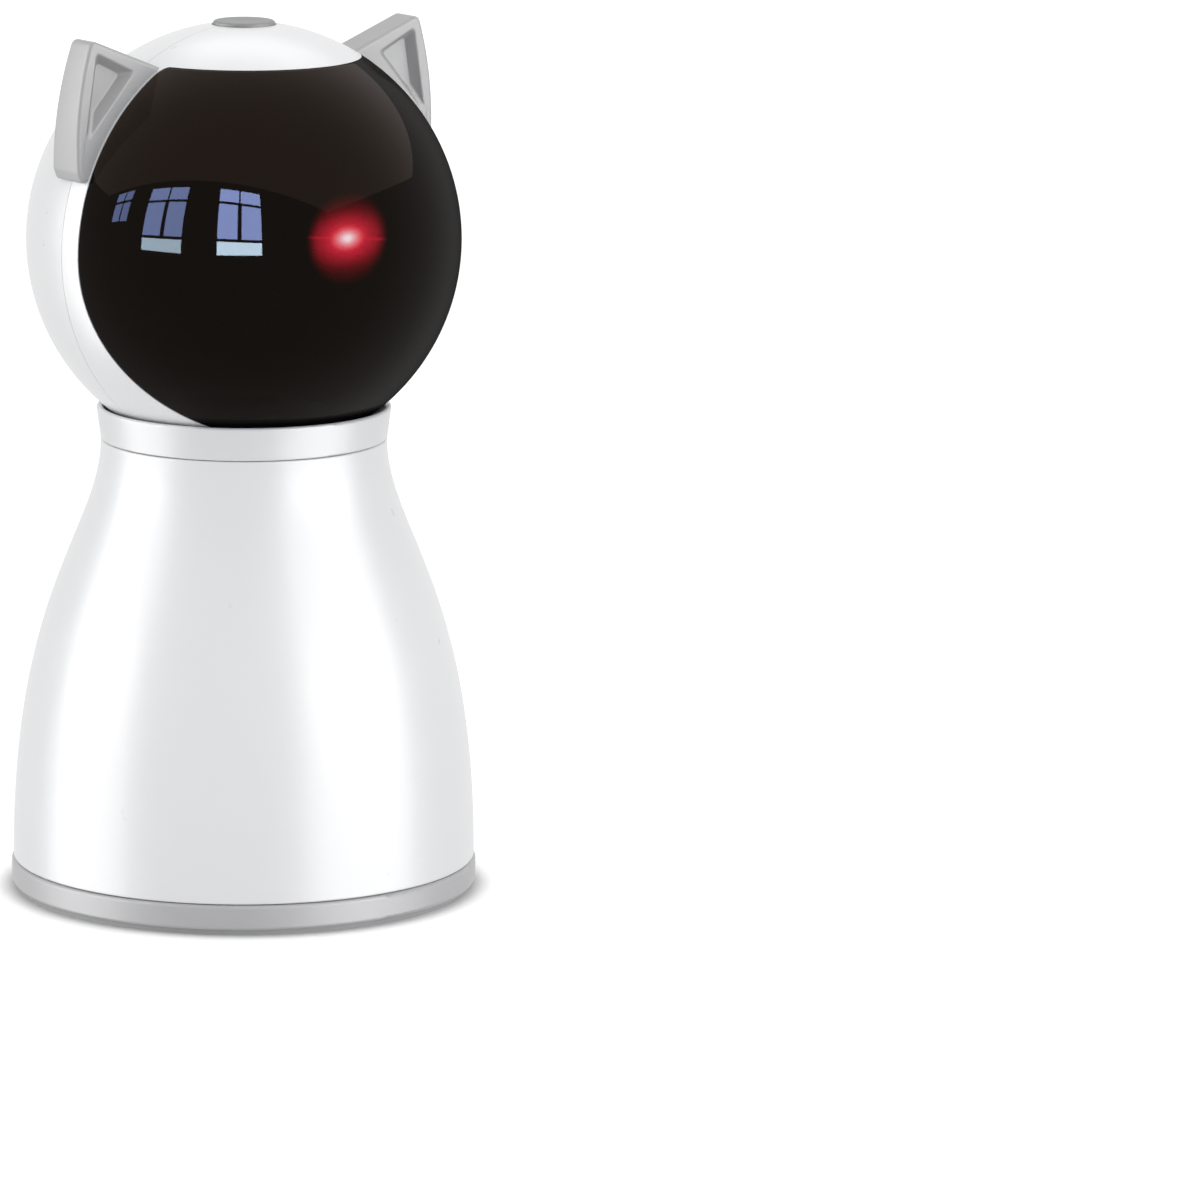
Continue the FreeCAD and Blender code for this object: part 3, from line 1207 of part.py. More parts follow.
def tab_block(name, inner, outer, width, thickness, angle="tab_angle"):
    """A block that stands radially in the plane of the seam, at the angle of an ear's tab."""
    length = f"({outer} - ({inner}))"
    thing = block(name, ("0", "0", "0"), (length, thickness, width))
    thing.Placement.Rotation = Rotation(Vector(0, -1, 0), number(angle))
    bind(thing, "Placement.Rotation.Angle", angle)
    bind(thing, "Placement.Base.x", f"({inner}) * cos({angle}) + ({width}) / 2 * sin({angle})")
    bind(thing, "Placement.Base.y", f"0 - ({thickness}) / 2")
    bind(thing, "Placement.Base.z", f"head_height + ({inner}) * sin({angle}) - ({width}) / 2 * cos({angle})")
    return thing


def tab_slots(shell):
    """Room in a shell for the tabs and barbs of both ears."""
    start = "ear_tab_root - tab_slack"
    width = "tab_width + 2 * fit_gap"
    slots = []
    for side, angle in (("right", "tab_angle"), ("left", "(180 - tab_angle)")):
        slots.append(tab_block(f"{shell}_tab_slot_{side}", start, "head_radius + head_wall", width,
                               "tab_thickness + 2 * fit_gap", angle))
        slots.append(tab_block(f"{shell}_barb_room_{side}", start, "ear_tab_root + tab_barb + fit_gap", width,
                               "tab_thickness * 2 + 2 * fit_gap", angle))
    return slots


def mirrored(name, thing):
    result = document.addObject("Part::Mirroring", name)
    result.Source = thing
    result.Normal = Vector(1, 0, 0)
    return result


def shell_screw_spots():
    return [(f"{x} * shell_screw_x", above(f"{z} * shell_screw_z"))
            for x in ("-1", "1") for z in ("-1", "1")]


def make_rear_shell():
    skin = cut("rear_skin", ball("rear_outside", "head_radius"),
               ball("rear_inside", "head_radius - head_wall"))
    fittings = []
    for index, (x, z) in enumerate(shell_screw_spots()):
        fittings.append(rod(f"rear_boss_{index}", "shell_boss_radius + well_lip", "head_radius",
                            (x, "0 - joint_line", z), ALONG_Y))
    for index, (x, y) in enumerate(button_board_spots()):
        fittings.append(rod(f"rear_post_{index}", "board_post_radius", "head_radius",
                            (x, y, BUTTON_BOARD_TOP)))
    fittings.append(ring("rear_shelf", "shelf_bore", "head_radius", f"{HEAD_SHELF} - shelf_thickness",
                         "shelf_thickness"))
    trimmed = common("rear_fittings", fuse("rear_fitting_set", *fittings),
                     ball("rear_trim", "head_radius - head_wall / 2"))
    whole = common("rear_whole", fuse("rear_all", skin, trimmed), half_space("rear_half", 1))
    holes = [rod("rear_button_hole", "button_radius + button_gap", "head_radius", HEAD_CENTRE)]
    for index, (x, z) in enumerate(shell_screw_spots()):
        holes.append(rod(f"rear_well_{index}", "well_radius", "head_radius", (x, "well_floor", z), ALONG_Y))
        holes.append(rod(f"rear_screw_hole_{index}", CLEARANCE_HOLE, "well_floor * 2",
                         (x, "0 - well_floor / 2", z), ALONG_Y))
    for index, (x, y) in enumerate(button_board_spots()):
        holes.append(rod(f"rear_post_hole_{index}", THREAD, "screw_length", (x, y, BUTTON_BOARD_TOP)))
    for index, (x, y, _) in enumerate(chassis_spots()):
        holes.append(rod(f"rear_shelf_hole_{index}", THREAD, "shelf_thickness * 2",
                         (x, y, f"{HEAD_SHELF} - shelf_thickness * 1.5")))
    node(cut("rear_shell", whole, *holes, *tab_slots("rear")), "head_rear_shell")


def make_front_shell():
    skin = cut("front_skin", ball("front_outside", "head_radius"),
               ball("front_inside", "head_radius - head_wall"))
    frame = cut("front_frame", skin, visor_window("visor_opening", "joint_line"))
    seat = "(head_radius - visor_wall - slide_gap)"
    band = cut("ledge_band", ball("ledge_outside", seat), ball("ledge_inside", f"{seat} - ledge_thickness"),
               visor_window("visor_view", "(0 - ledge_width)"),
               rod("ledge_neck", "shelf_bore", "head_radius", ("0", "0", above("0 - head_radius"))),
               block("ledge_crown", ("0 - head_radius", "0 - head_radius", above("ledge_top")),
                     ("2 * head_radius", "2 * head_radius", "head_radius")))
    fittings = []
    for index, (x, z) in enumerate(shell_screw_spots()):
        fittings.append(rod(f"front_boss_{index}", "shell_boss_radius", "shell_boss_length",
                            (x, "0", z), TOWARDS_FRONT))
        inner_end = "shell_screw_x" if number(x) > 0 else "0 - head_radius"
        fittings.append(block(f"front_web_{index}", (inner_end, "0 - shell_boss_length", f"{z} - web_width / 2"),
                              ("head_radius - shell_screw_x", "shell_boss_length", "web_width")))
    fittings.append(ring("front_shelf", "shelf_bore", "head_radius", f"{HEAD_SHELF} - shelf_thickness",
                         "shelf_thickness"))
    trimmed = common("front_fittings", fuse("front_fitting_set", *fittings), ball("front_trim", seat))
    whole = common("front_whole", fuse("front_all", frame, band, trimmed), half_space("front_half", -1))
    holes = [rod("front_button_hole", "button_radius + button_gap", "head_radius", HEAD_CENTRE)]
    for index, (x, z) in enumerate(shell_screw_spots()):
        holes.append(rod(f"front_screw_hole_{index}", THREAD, "shell_boss_length - boss_floor",
                         (x, "boss_floor", z), TOWARDS_FRONT))
    for index, (x, y, _) in enumerate(chassis_spots()):
        holes.append(rod(f"front_shelf_hole_{index}", THREAD, "shelf_thickness * 2",
                         (x, y, f"{HEAD_SHELF} - shelf_thickness * 1.5")))
    node(cut("front_shell", whole, *holes, *tab_slots("front")), "head_front_shell")
    screws = [screw(f"head_screw_{index}", (x, "well_floor", z), TOWARDS_FRONT,
                    length="well_floor + shell_boss_length * 0.6")
              for index, (x, z) in enumerate(shell_screw_spots())]
    node(group("head_screw_group", screws), "head_screws")


def make_visor():
    bowl = cut("visor_bowl", ball("visor_outside", "head_radius"),
               ball("visor_inside", "head_radius - visor_wall"))
    pane = common("visor_pane", bowl, visor_window("visor_shape", "0"), half_space("visor_half", -1))
    node(pane, "visor")


def make_ears():
    tan_slope = "tan(ear_slope)"
    outer_x = "ear_outer - ear_outer_arc + sqrt(ear_outer_arc^2 - ({z} - ear_outer_middle)^2)"
    tip_z = "(ear_tip_z - ear_tip_round)"
    heel_z = "(ear_bottom + ear_heel_rise)"
    blank = extruded("ear_blank", "XZ_Plane", [
        ("ear_root_x", "ear_bottom"),
        ("ear_outer - ear_heel_width", "ear_bottom"),
        (outer_x.format(z=heel_z), heel_z, "ear_outer_arc"),
        (outer_x.format(z=tip_z), tip_z, "ear_tip_arc"),
        ("ear_tip_x - ear_tip_round", f"ear_tip_z - ear_tip_round * {tan_slope}"),
        ("ear_crown_x", f"ear_tip_z - (ear_tip_x - ear_crown_x) * {tan_slope}")],
        "2 * ear_front", HEAD_CENTRE)
    lean = "atan((ear_rear_bottom - ear_rear_top) / (ear_tip_z - ear_bottom))"
    room = ("2 * head_radius", "ear_front * 3", "2 * head_radius")
    back = block("ear_back", ("0", "ear_rear_bottom", above("ear_bottom")), room)
    back.Placement.Rotation = Rotation(Vector(1, 0, 0), number(lean))
    bind(back, "Placement.Rotation.Angle", lean)
    foot = block("ear_back_foot", ("0", "ear_rear_bottom", above("0 - head_radius")), room)
    leaning = cut("ear_leaning", blank, back, foot)

    def stands_proud(edge):
        middle = edge.CenterOfMass
        return math.hypot(middle.x, middle.z - number("head_height")) > number("head_radius") * 1.01

    soft = rounded("ear_soft", leaning, "ear_edge_round", stands_proud)
    bowl = cut("ear_bowled", soft, ball("ear_seat_ball", "head_radius + seat_gap"), ear_recess())
    tab = tab_block("ear_tab", "ear_tab_root", "head_radius + head_wall", "tab_width", "tab_thickness")
    barb = tab_block("ear_barb", "ear_tab_root", "ear_tab_root + tab_barb", "tab_width", "tab_thickness * 2")
    right = fuse("ear", bowl, tab, barb)
    node(right, "ear_right")
    node(mirrored("ear_mirrored", right), "ear_left")


def ear_recess():
    """Tapered triangular hollow in the front of the ear."""
    body = document.addObject("PartDesign::Body", "ear_hollow")
    sketch = new_sketch(body, "ear_hollow_outline", "XZ_Plane")
    draw_loop(sketch, [("recess_low_x", "recess_low_z"), ("recess_tip_x", "recess_tip_z"),
                       ("recess_inner_x", "recess_inner_z")])
    document.recompute()
    pad = body.newObject("PartDesign::Pad", "ear_hollow_pad")
    pad.Profile = sketch
    pad.Reversed = True
    bind(pad, "Length", "recess_depth + recess_lead")
    bind(pad, "TaperAngle", "0 - recess_taper")
    place(body, ("0", "0 - ear_front - recess_lead", "head_height"))
    return rounded("ear_hollow_soft", body, "recess_round",
                   lambda edge: edge.BoundBox.YLength > number("recess_depth") / 2)


# ---------------------------------------------------------------- wiring

def make_harness():
    meeting = ("0", "0", BUSH_TOP)
    y = f"({BOARD_FRONT} + board_edge_gap + connector_depth / 2)"
    start = f"({MAIN_BOARD_TOP} + connector_height)"
    node(cable("neck_cable", [
        (CONNECTOR_X, y, start),
        (CONNECTOR_X, y, f"{start} + neck_wire_straight"),
        ("0", "0", f"{start} + neck_wire_rise"),
        meeting], "wire_bundle"), "neck_harness")
    node(cable("head_cable", [
        meeting,
        WIRE_EXIT,
        ("wire_side_x * 0.7", "wire_side_y * 0.7", WIRE_EXIT[2]),
        ("wire_side_x", "wire_side_y", above("0 - wire_low")),
        ("wire_side_x", "wire_side_y", above("wire_high")),
        ("wire_side_x * 0.7", "wire_side_y * 0.7", above("wire_turn - 2 * wire_bundle")),
        ("wire_end_x", "wire_end_y", above("wire_turn")),
        ("wire_end_x", "wire_end_y", f"{BUTTON_BOARD_TOP} - board_thickness")], "head_wire"), "head_harness")


# ---------------------------------------------------------------- build and export

def make_toy():
    make_foot_ring()
    make_bottom_cover()
    make_body_shell()
    make_collar()
    make_swivel_bush()
    make_main_board()
    make_charging_port()
    make_battery()
    make_battery_strap()
    make_chassis()
    make_clips()
    make_pan_drive()
    make_yoke()
    make_tilt_drive()
    make_laser()
    make_button()
    make_button_switch()
    make_rear_shell()
    make_front_shell()
    make_visor()
    make_ears()
    make_harness()


def check_and_export():
    document.recompute()
    faults = [f"{item.Name}: {item.State}" for item in document.Objects
              if "Invalid" in item.State or "Error" in item.State]
    for thing in NODES:
        if thing.Shape.isNull() or not thing.Shape.isValid():
            faults.append(f"{thing.Label}: bad shape")
    if faults:
        raise RuntimeError("; ".join(faults))
    os.makedirs("parts", exist_ok=True)
    for thing in NODES:
        thing.Shape.exportStep(os.path.join("parts", thing.Label + ".step"))
        box = thing.Shape.BoundBox
        print(f"{thing.Label:22s} solids {len(thing.Shape.Solids)}  volume {thing.Shape.Volume:9.1f}"
              f"  z {box.ZMin:7.2f} to {box.ZMax:7.2f}")


make_toy()
check_and_export()
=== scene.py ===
# %% [markdown]
# # Automatic cat laser toy
# The toy is a bell-shaped stand with a ball for a head.  The ball has a smoked visor, two
# cat ears and a push button, and a small turret inside it points a red laser about.
#
# The measured solids come from the construction model.  This lesson gives them their
# finishes, and builds again in mesh code the pieces whose edges and curves are seen
# closest: the visor, the ears and the button.  Everything else keeps its measured solid.

# %% Load the measured model
import math

import bmesh
import bpy
from mathutils import Matrix, Quaternion, Vector


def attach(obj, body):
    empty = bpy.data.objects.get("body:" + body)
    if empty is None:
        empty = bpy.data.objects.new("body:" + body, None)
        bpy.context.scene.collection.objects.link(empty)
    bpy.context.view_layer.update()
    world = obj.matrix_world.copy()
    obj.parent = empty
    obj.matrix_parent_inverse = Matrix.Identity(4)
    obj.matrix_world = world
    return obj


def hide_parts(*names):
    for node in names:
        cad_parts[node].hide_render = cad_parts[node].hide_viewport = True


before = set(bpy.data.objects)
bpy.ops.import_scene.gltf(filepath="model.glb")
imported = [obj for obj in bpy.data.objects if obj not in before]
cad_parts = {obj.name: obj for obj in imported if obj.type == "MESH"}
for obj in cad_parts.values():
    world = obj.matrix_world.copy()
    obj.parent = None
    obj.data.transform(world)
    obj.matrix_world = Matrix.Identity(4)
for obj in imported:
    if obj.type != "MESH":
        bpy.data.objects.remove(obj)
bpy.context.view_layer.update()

MM = 0.001

# %% [markdown]
# ## The view
# A long lens stands well back, a little above the toy and to the left of its face, so the
# upright edges stay nearly parallel.  The camera's turn is built from three directions
# instead of angles, which keeps the horizon level and needs no trial and error.

# %% Camera
HEAD_TURN = math.radians(34.6)
DISTANCE = 1350.69
EYE_HEIGHT = 321.68
LOOK_DOWN = 0.19699
LOOK_ASIDE = 0.046615
FOCAL_PIXELS = 7629.36
PICTURE_PIXELS = 1200
SENSOR_WIDTH = 36
NEAREST, FARTHEST = 0.1, 20

down = Vector((0, math.cos(LOOK_DOWN), -math.sin(LOOK_DOWN)))
upward = Vector((0, math.sin(LOOK_DOWN), math.cos(LOOK_DOWN)))
sideways = Vector((1, 0, 0))
forward = down * math.cos(LOOK_ASIDE) + sideways * math.sin(LOOK_ASIDE)
rightward = sideways * math.cos(LOOK_ASIDE) - down * math.sin(LOOK_ASIDE)
turn = Matrix((rightward, upward, -forward)).transposed().to_4x4()
stand_back = Matrix.Translation(Vector((0, -DISTANCE, EYE_HEIGHT)) * MM)

lens = bpy.data.cameras.new("camera")
lens.sensor_width = SENSOR_WIDTH
lens.lens = SENSOR_WIDTH * FOCAL_PIXELS / PICTURE_PIXELS
lens.clip_start, lens.clip_end = NEAREST, FARTHEST
camera = bpy.data.objects.new("camera", lens)
bpy.context.scene.collection.objects.link(camera)
camera.matrix_world = Matrix.Rotation(-HEAD_TURN, 4, "Z") @ stand_back @ turn
bpy.context.scene.camera = camera
camera_place = [round(c, 3) for c in camera.matrix_world.translation]
print("lens", round(lens.lens, 1), "mm, camera at", camera_place)

# %% [markdown]
# ## Shader sums
# A finish is a small network of nodes.  Joining them by hand is slow to read, so one class
# wraps a socket and takes the plain signs for sums, and one method makes any other node:
# its type, then its settings, then its sockets.

# %% Sockets that can be added and multiplied
class Term:
    """One output of a node, a number or a vector, that takes part in sums."""

    def __init__(self, finish, socket):
        self.finish = finish
        self.socket = socket

    def sum_with(self, operation, first, second):
        kind = "ShaderNodeMath" if self.socket.type == "VALUE" else "ShaderNodeVectorMath"
        return self.finish.node(kind, {"operation": operation}, {0: first, 1: second})

    def __add__(self, other):
        return self.sum_with("ADD", self, other)

    def __radd__(self, other):
        return self.sum_with("ADD", other, self)

    def __sub__(self, other):
        return self.sum_with("SUBTRACT", self, other)

    def __mul__(self, other):
        return self.sum_with("MULTIPLY", self, other)

    def __rmul__(self, other):
        return self.sum_with("MULTIPLY", other, self)


class Finish:
    """A material whose nodes are made one by one."""

    def __init__(self, name):
        self.material = bpy.data.materials.new(name)
        self.material.use_nodes = True
        self.tree = self.material.node_tree
        self.tree.nodes.clear()

    def node(self, kind, settings=None, sockets=None, output=0):
        """Any node: its type, its settings, and the values or links of its sockets."""
        made = self.tree.nodes.new(kind)
        for word, value in (settings or {}).items():
            if word == "stops":
                fill_ramp(made.color_ramp, value)
            else:
                setattr(made, word, value)
        for word, value in (sockets or {}).items():
            if isinstance(value, Term):
                self.tree.links.new(value.socket, made.inputs[word])
            else:
                made.inputs[word].default_value = value
        return Term(self, made.outputs[output]) if made.outputs else None

    def surface(self, shader):
        """Joins a shader to the output and gives the finished material."""
        self.node("ShaderNodeOutputMaterial", {}, {"Surface": shader})
        return self.material


def fill_ramp(ramp, stops):
    """Sets a ramp's stops from (place, colour) pairs."""
    while len(ramp.elements) < len(stops):
        ramp.elements.new(1.0)
    for element, (place, colour) in zip(ramp.elements, stops):
        element.position = place
        element.color = colour


print("shader sums ready")

# %% [markdown]
# ## Shared nodes
# Grain, stains and smoke all start from a noise in the piece's own millimetres, and most of
# them end as a colour between two, as a smooth step or as a small relief.  The nodes for
# these could be repeated in every finish; written once, they let each finish below read as
# a short recipe.

# %% Nodes that several finishes share
# A Mix node's two colours and its result go by number, because their names repeat.
MIX_FIRST, MIX_SECOND, MIX_RESULT = 6, 7, 2


def in_millimetres(finish):
    """The place on the piece, in its own millimetres."""
    return finish.node("ShaderNodeTexCoord", output="Object") * (1 / MM, 1 / MM, 1 / MM)


def noise(finish, spot, per_mm, detail=2.0):
    sockets = {"Vector": spot, "Scale": per_mm, "Detail": detail}
    return finish.node("ShaderNodeTexNoise", {}, sockets)


def opaque(colour):
    """A colour's three numbers with a full fourth one; a link passes as it is."""
    return colour if isinstance(colour, Term) else (*colour, 1)


def between(finish, share, low, high):
    """A colour between two, by a number from 0 to 1."""
    colours = {0: share, MIX_FIRST: opaque(low), MIX_SECOND: opaque(high)}
    return finish.node("ShaderNodeMix", {"data_type": "RGBA"}, colours, MIX_RESULT)


def shaded(colour, share):
    return tuple(channel * share for channel in colour)


def ranged(finish, value, start, end, first, last, way="SMOOTHSTEP"):
    """A number that goes from first to last while the value goes from start to end."""
    sockets = {"Value": value, "From Min": start, "From Max": end, "To Min": first, "To Max": last}
    return finish.node("ShaderNodeMapRange", {"interpolation_type": way}, sockets)


def length_of(finish, vector):
    return finish.node("ShaderNodeVectorMath", {"operation": "LENGTH"}, {0: vector}, "Value")


def bump(finish, height, strength, depth):
    """A small relief; its depth is in millimetres."""
    sockets = {"Height": height, "Strength": strength, "Distance": depth * MM}
    return finish.node("ShaderNodeBump", {}, sockets)


def principled(finish, sockets):
    return finish.node("ShaderNodeBsdfPrincipled", {}, sockets)


print("shared nodes ready")

# %% [markdown]
# ## The studio
# White things need light from everywhere, or their far side goes grey.  Many lamps could
# give that, but each would draw its own shadow and its own bright spot, so an even pale sky
# and a white floor do it.  Close round the foot the floor is painted a little darker for
# the camera: a painted contact shadow, where a thing that stands on it keeps the light away.

# %% Floor
FLOOR_REACH = 6.0
# Where the painted contact shadow starts and ends, in metres from the foot's middle, and how dark
# it is.
PAINTED_SHADOW_START, PAINTED_SHADOW_END = 0.0412, 0.0455
PAINTED_SHADOW_LEVEL, PALE_LEVEL = 0.75, 1.25
THROWN_BACK = (0.92, 0.92, 0.92)


def floor_finish():
    """Pale to the eye with a painted shadow round the foot, a little darker for the light it
    throws back.
    """
    finish = Finish("studio_floor")
    seen = finish.node("ShaderNodeLightPath", output="Is Camera Ray")
    away = length_of(finish, finish.node("ShaderNodeTexCoord", output="Object"))
    # Painted shadow: the floor the camera sees is darker close round the foot, paler further out.
    pale_with_painted_shadow = ranged(finish, away, PAINTED_SHADOW_START, PAINTED_SHADOW_END, PAINTED_SHADOW_LEVEL, PALE_LEVEL)
    white = between(finish, seen, THROWN_BACK, pale_with_painted_shadow)
    return finish.surface(finish.node("ShaderNodeBsdfDiffuse", {}, {"Color": white}))


def flat_sheet(name, reach):
    mesh = bpy.data.meshes.new(name)
    corners = [(-reach, -reach, 0), (reach, -reach, 0), (reach, reach, 0), (-reach, reach, 0)]
    mesh.from_pydata(corners, [], [(0, 1, 2, 3)])
    sheet = bpy.data.objects.new(name, mesh)
    bpy.context.scene.collection.objects.link(sheet)
    return sheet


floor = flat_sheet("studio_floor", FLOOR_REACH)
floor.data.materials.append(floor_finish())
floor.visible_glossy = False
print("floor", 2 * FLOOR_REACH, "m wide")

# %% Sky
SKY_LEVEL = 0.93
SKY_SEEN = 1.0

sky = bpy.data.worlds.new("sky")
sky.use_nodes = True
background = sky.node_tree.nodes["Background"]
background.inputs["Color"].default_value = (1, 1, 1, 1)
seen = sky.node_tree.nodes.new("ShaderNodeLightPath")
level = sky.node_tree.nodes.new("ShaderNodeMapRange")
level.inputs["To Min"].default_value = SKY_LEVEL
level.inputs["To Max"].default_value = SKY_SEEN
sky.node_tree.links.new(seen.outputs["Is Camera Ray"], level.inputs["Value"])
sky.node_tree.links.new(level.outputs[0], background.inputs["Strength"])
bpy.context.scene.world = sky
bpy.context.scene.view_settings.view_transform = "Standard"
print("sky level", SKY_LEVEL)

# %% [markdown]
# ## The bands of light
# Gloss shows the room.  On a tall white bell it shows as two soft upright bands, which tell
# the eye how round it is.  Large panels that only give gloss draw them: two tall ones, two
# low ones that carry the bands down to the foot, and a weak one for the crown.  One soft
# panel overhead also lights plainly.
#
# The panels are linked to the plastics, so the bands don't cross the visor.  The visor does
# stop their light, or it would reach the screws behind it.

# %% Lamps
HEAD_HEIGHT = 118.0
HEAD_MIDDLE = Vector((0, 0, HEAD_HEIGHT)) * MM
PLASTICS = bpy.data.collections.new("lit_by_bands")
POLISHED = bpy.data.collections.new("lit_by_windows")
SHADES = {PLASTICS: bpy.data.collections.new("shades_bands"), POLISHED: POLISHED}
SHADES[PLASTICS].children.link(PLASTICS)
SHADES[PLASTICS].children.link(POLISHED)
BAND_WHITE = (1.0, 1.0, 1.0)
# Azimuth and elevation in degrees, distance, width and height in metres, and radiance.
BANDS = {
    "band_left": (-120, 4, 1.3, 1.2, 2.6, 5.0),
    "band_right": (27, 4, 1.3, 1.5, 2.6, 5.0),
    "band_crown": (140, 54, 1.3, 0.9, 0.6, 2.0),
    "foot_left": (-120, 9, 1.3, 1.0, 0.36, 3.0),
    "foot_right": (27, 9, 1.3, 1.3, 0.36, 3.0),
    "ceiling": (20, 74, 1.6, 1.2, 1.2, 0.4),
}


def towards(azimuth, elevation):
    """A direction; azimuth 0 looks out of the face and grows towards +X."""
    side, height = math.radians(azimuth), math.radians(elevation)
    level = math.cos(height)
    return Vector((math.sin(side) * level, -math.cos(side) * level, math.sin(height)))


def panel(name, azimuth, elevation, distance, width, height, radiance, colour, receivers,
          diffuse=False):
    """A rectangular lamp that looks at the head; radiance is the brightness of its face."""
    lamp = bpy.data.lights.new(name, "AREA")
    lamp.shape = "RECTANGLE"
    lamp.size, lamp.size_y = width, height
    lamp.color = colour
    lamp.energy = radiance * math.pi * width * height
    thing = bpy.data.objects.new(name, lamp)
    bpy.context.scene.collection.objects.link(thing)
    out = towards(azimuth, elevation)
    thing.location = HEAD_MIDDLE + out * distance
    thing.rotation_mode = "QUATERNION"
    thing.rotation_quaternion = out.to_track_quat("Z", "Y")
    thing.visible_diffuse = diffuse
    thing.light_linking.receiver_collection = receivers
    thing.light_linking.blocker_collection = SHADES[receivers]
    return thing


for name, numbers in BANDS.items():
    panel(name, *numbers, BAND_WHITE, PLASTICS, diffuse=name == "ceiling")
print("lamps for the plastics:", len(bpy.data.lights))

# %% [markdown]
# ## The room in the visor
# A dark polished ball looks like glass only if it mirrors something.  A picture of a room
# round the scene would do that, but it would tint the white plastic too.  Here three windows
# of bluish panes stand in one wall under a wide cream ceiling, all of them lamps that are
# linked to the visor alone.

# %% Window panes
WALL_WAY, WALL_DISTANCE = -52, 1.7
SKY_BLUE = (0.27, 0.43, 1.0)
LAND_BLUE = (0.44, 0.71, 1.0)
CEILING_CREAM = (1.0, 0.8, 0.72)
PANE_LEVEL = 132.0
# Low and high edge in metres, half the bar's width in degrees, colour, share of the level.
ROWS = (
    ("top", 0.885, 1.139, 0.45, SKY_BLUE, 1.05),
    ("tall", 0.244, 0.836, 1.1, SKY_BLUE, 1.0),
    ("low", -0.009, 0.197, 0.0, LAND_BLUE, 1.5),
)
HIGH_ROWS = (
    ("top", 0.98, 1.2, 0.3, SKY_BLUE, 1.05),
    ("tall", 0.5, 0.92, 0.4, SKY_BLUE, 1.0),
)
# Left and right edge in degrees, share of the level, and rows.
WINDOWS = {
    "window_side": (-109.5, -100.5, 0.4, HIGH_ROWS),
    "window_far": (-89.5, -67.5, 0.65, ROWS),
    "window_near": (-48.6, -25.4, 1.12, ROWS),
}
ROOM_CEILING = (0, 90, 1.3, 7.0, 4.6, 1.6)
CEILING_SHIFT = 0.6


def pane(name, left, right, low, high, radiance, tint):
    """A pane of the window wall, between two directions in degrees and two heights in metres."""
    ends = [WALL_DISTANCE * math.tan(math.radians(side - WALL_WAY)) for side in (left, right)]
    width = ends[1] - ends[0]
    glass = panel(name, WALL_WAY, 0, WALL_DISTANCE, width, high - low, radiance, tint, POLISHED)
    along = towards(WALL_WAY + 90, 0) * sum(ends) / 2
    glass.location += along + Vector((0, 0, (low + high) / 2))


def window(name, left, right, level, rows):
    """Two small panes over two tall ones, and in a low window a pale strip of land."""
    middle = (left + right) / 2
    for row, low, high, bar, tint, share in rows:
        if bar:
            pane(f"{name}_{row}_left", left, middle - bar, low, high, level * share, tint)
            pane(f"{name}_{row}_right", middle + bar, right, low, high, level * share, tint)
        else:
            pane(f"{name}_{row}", left, right, low, high, level * share, tint)


for name, (left, right, share, rows) in WINDOWS.items():
    window(name, left, right, PANE_LEVEL * share, rows)
room_ceiling = panel("room_ceiling", *ROOM_CEILING, CEILING_CREAM, POLISHED)
room_ceiling.rotation_quaternion = Quaternion((0, 0, 1), math.radians(WALL_WAY))
room_ceiling.location += towards(WALL_WAY + 180, 0) * CEILING_SHIFT
print("panes:", len([lamp for lamp in bpy.data.lights if lamp.name.startswith("window")]))

# %% [markdown]
# ## Finishes
# Moulded plastic is never one flat colour: the melt flows unevenly, the tool leaves a fine
# grain, and handling polishes it in places.  One recipe gives all three, from noises in the
# piece's own millimetres, so the grain stays the same size on every piece and moves with it.

# %% Moulded plastic
FLOW_PER_MM, FLOW_DETAIL = 0.06, 3.0
POLISH_PER_MM, POLISH_SPREAD = 0.25, 0.1
GRAIN_STRENGTH = 0.5
# Colour, roughness, grains per mm, their depth in mm, and unevenness of the colour.
MOULDED = {
    "shell_white": ((0.805, 0.81, 0.82), 0.3, 4.0, 0.002, 0.006),
    "collar_white": ((0.74, 0.745, 0.755), 0.34, 4.0, 0.002, 0.006),
    "ear_grey": ((0.37, 0.37, 0.375), 0.5, 6.0, 0.006, 0.01),
    "button_grey": ((0.23, 0.23, 0.235), 0.5, 6.0, 0.006, 0.01),
    "base_grey": ((0.44, 0.44, 0.45), 0.42, 6.0, 0.006, 0.01),
    "foot_rubber": ((0.33, 0.33, 0.335), 0.75, 8.0, 0.02, 0.04),
    "bush_acetal": ((0.78, 0.76, 0.7), 0.35, 5.0, 0.003, 0.02),
    "gear_acetal": ((0.76, 0.74, 0.66), 0.38, 5.0, 0.003, 0.02),
    "chassis_grey": ((0.055, 0.055, 0.06), 0.55, 5.0, 0.01, 0.05),
    "chip_black": ((0.02, 0.02, 0.022), 0.5, 9.0, 0.01, 0.08),
    "plunger_black": ((0.03, 0.03, 0.03), 0.45, 6.0, 0.004, 0.05),
    "connector_ivory": ((0.72, 0.68, 0.56), 0.42, 6.0, 0.004, 0.02),
    "cell_wrap": ((0.04, 0.16, 0.38), 0.25, 1.2, 0.02, 0.06),
    "wire_black": ((0.03, 0.03, 0.032), 0.6, 3.0, 0.03, 0.08),
}


def moulded(name, colour, roughness, grain_per_mm, grain_depth, unevenness):
    finish = Finish(name)
    spot = in_millimetres(finish)
    flow = noise(finish, spot, FLOW_PER_MM, FLOW_DETAIL)
    grain = noise(finish, spot, grain_per_mm)
    base = between(finish, flow, shaded(colour, 1 - unevenness), shaded(colour, 1 + unevenness))
    polish = noise(finish, spot, POLISH_PER_MM)
    return finish.surface(principled(finish, {
        "Base Color": base,
        "Roughness": roughness - POLISH_SPREAD / 2 + POLISH_SPREAD * polish,
        "Normal": bump(finish, grain, GRAIN_STRENGTH, grain_depth)}))


FINISHES = {slot: moulded(slot, *recipe) for slot, recipe in MOULDED.items()}
print("moulded finishes:", len(FINISHES))

# %% [markdown]
# ## Metals and boards
# Brushed and turned metal differ by the direction of their fine lines: a noise that is
# stretched along one axis gives them.  The board's green is a thin coat over copper, so its
# colour shifts in blocks, as tracks under the mask do.

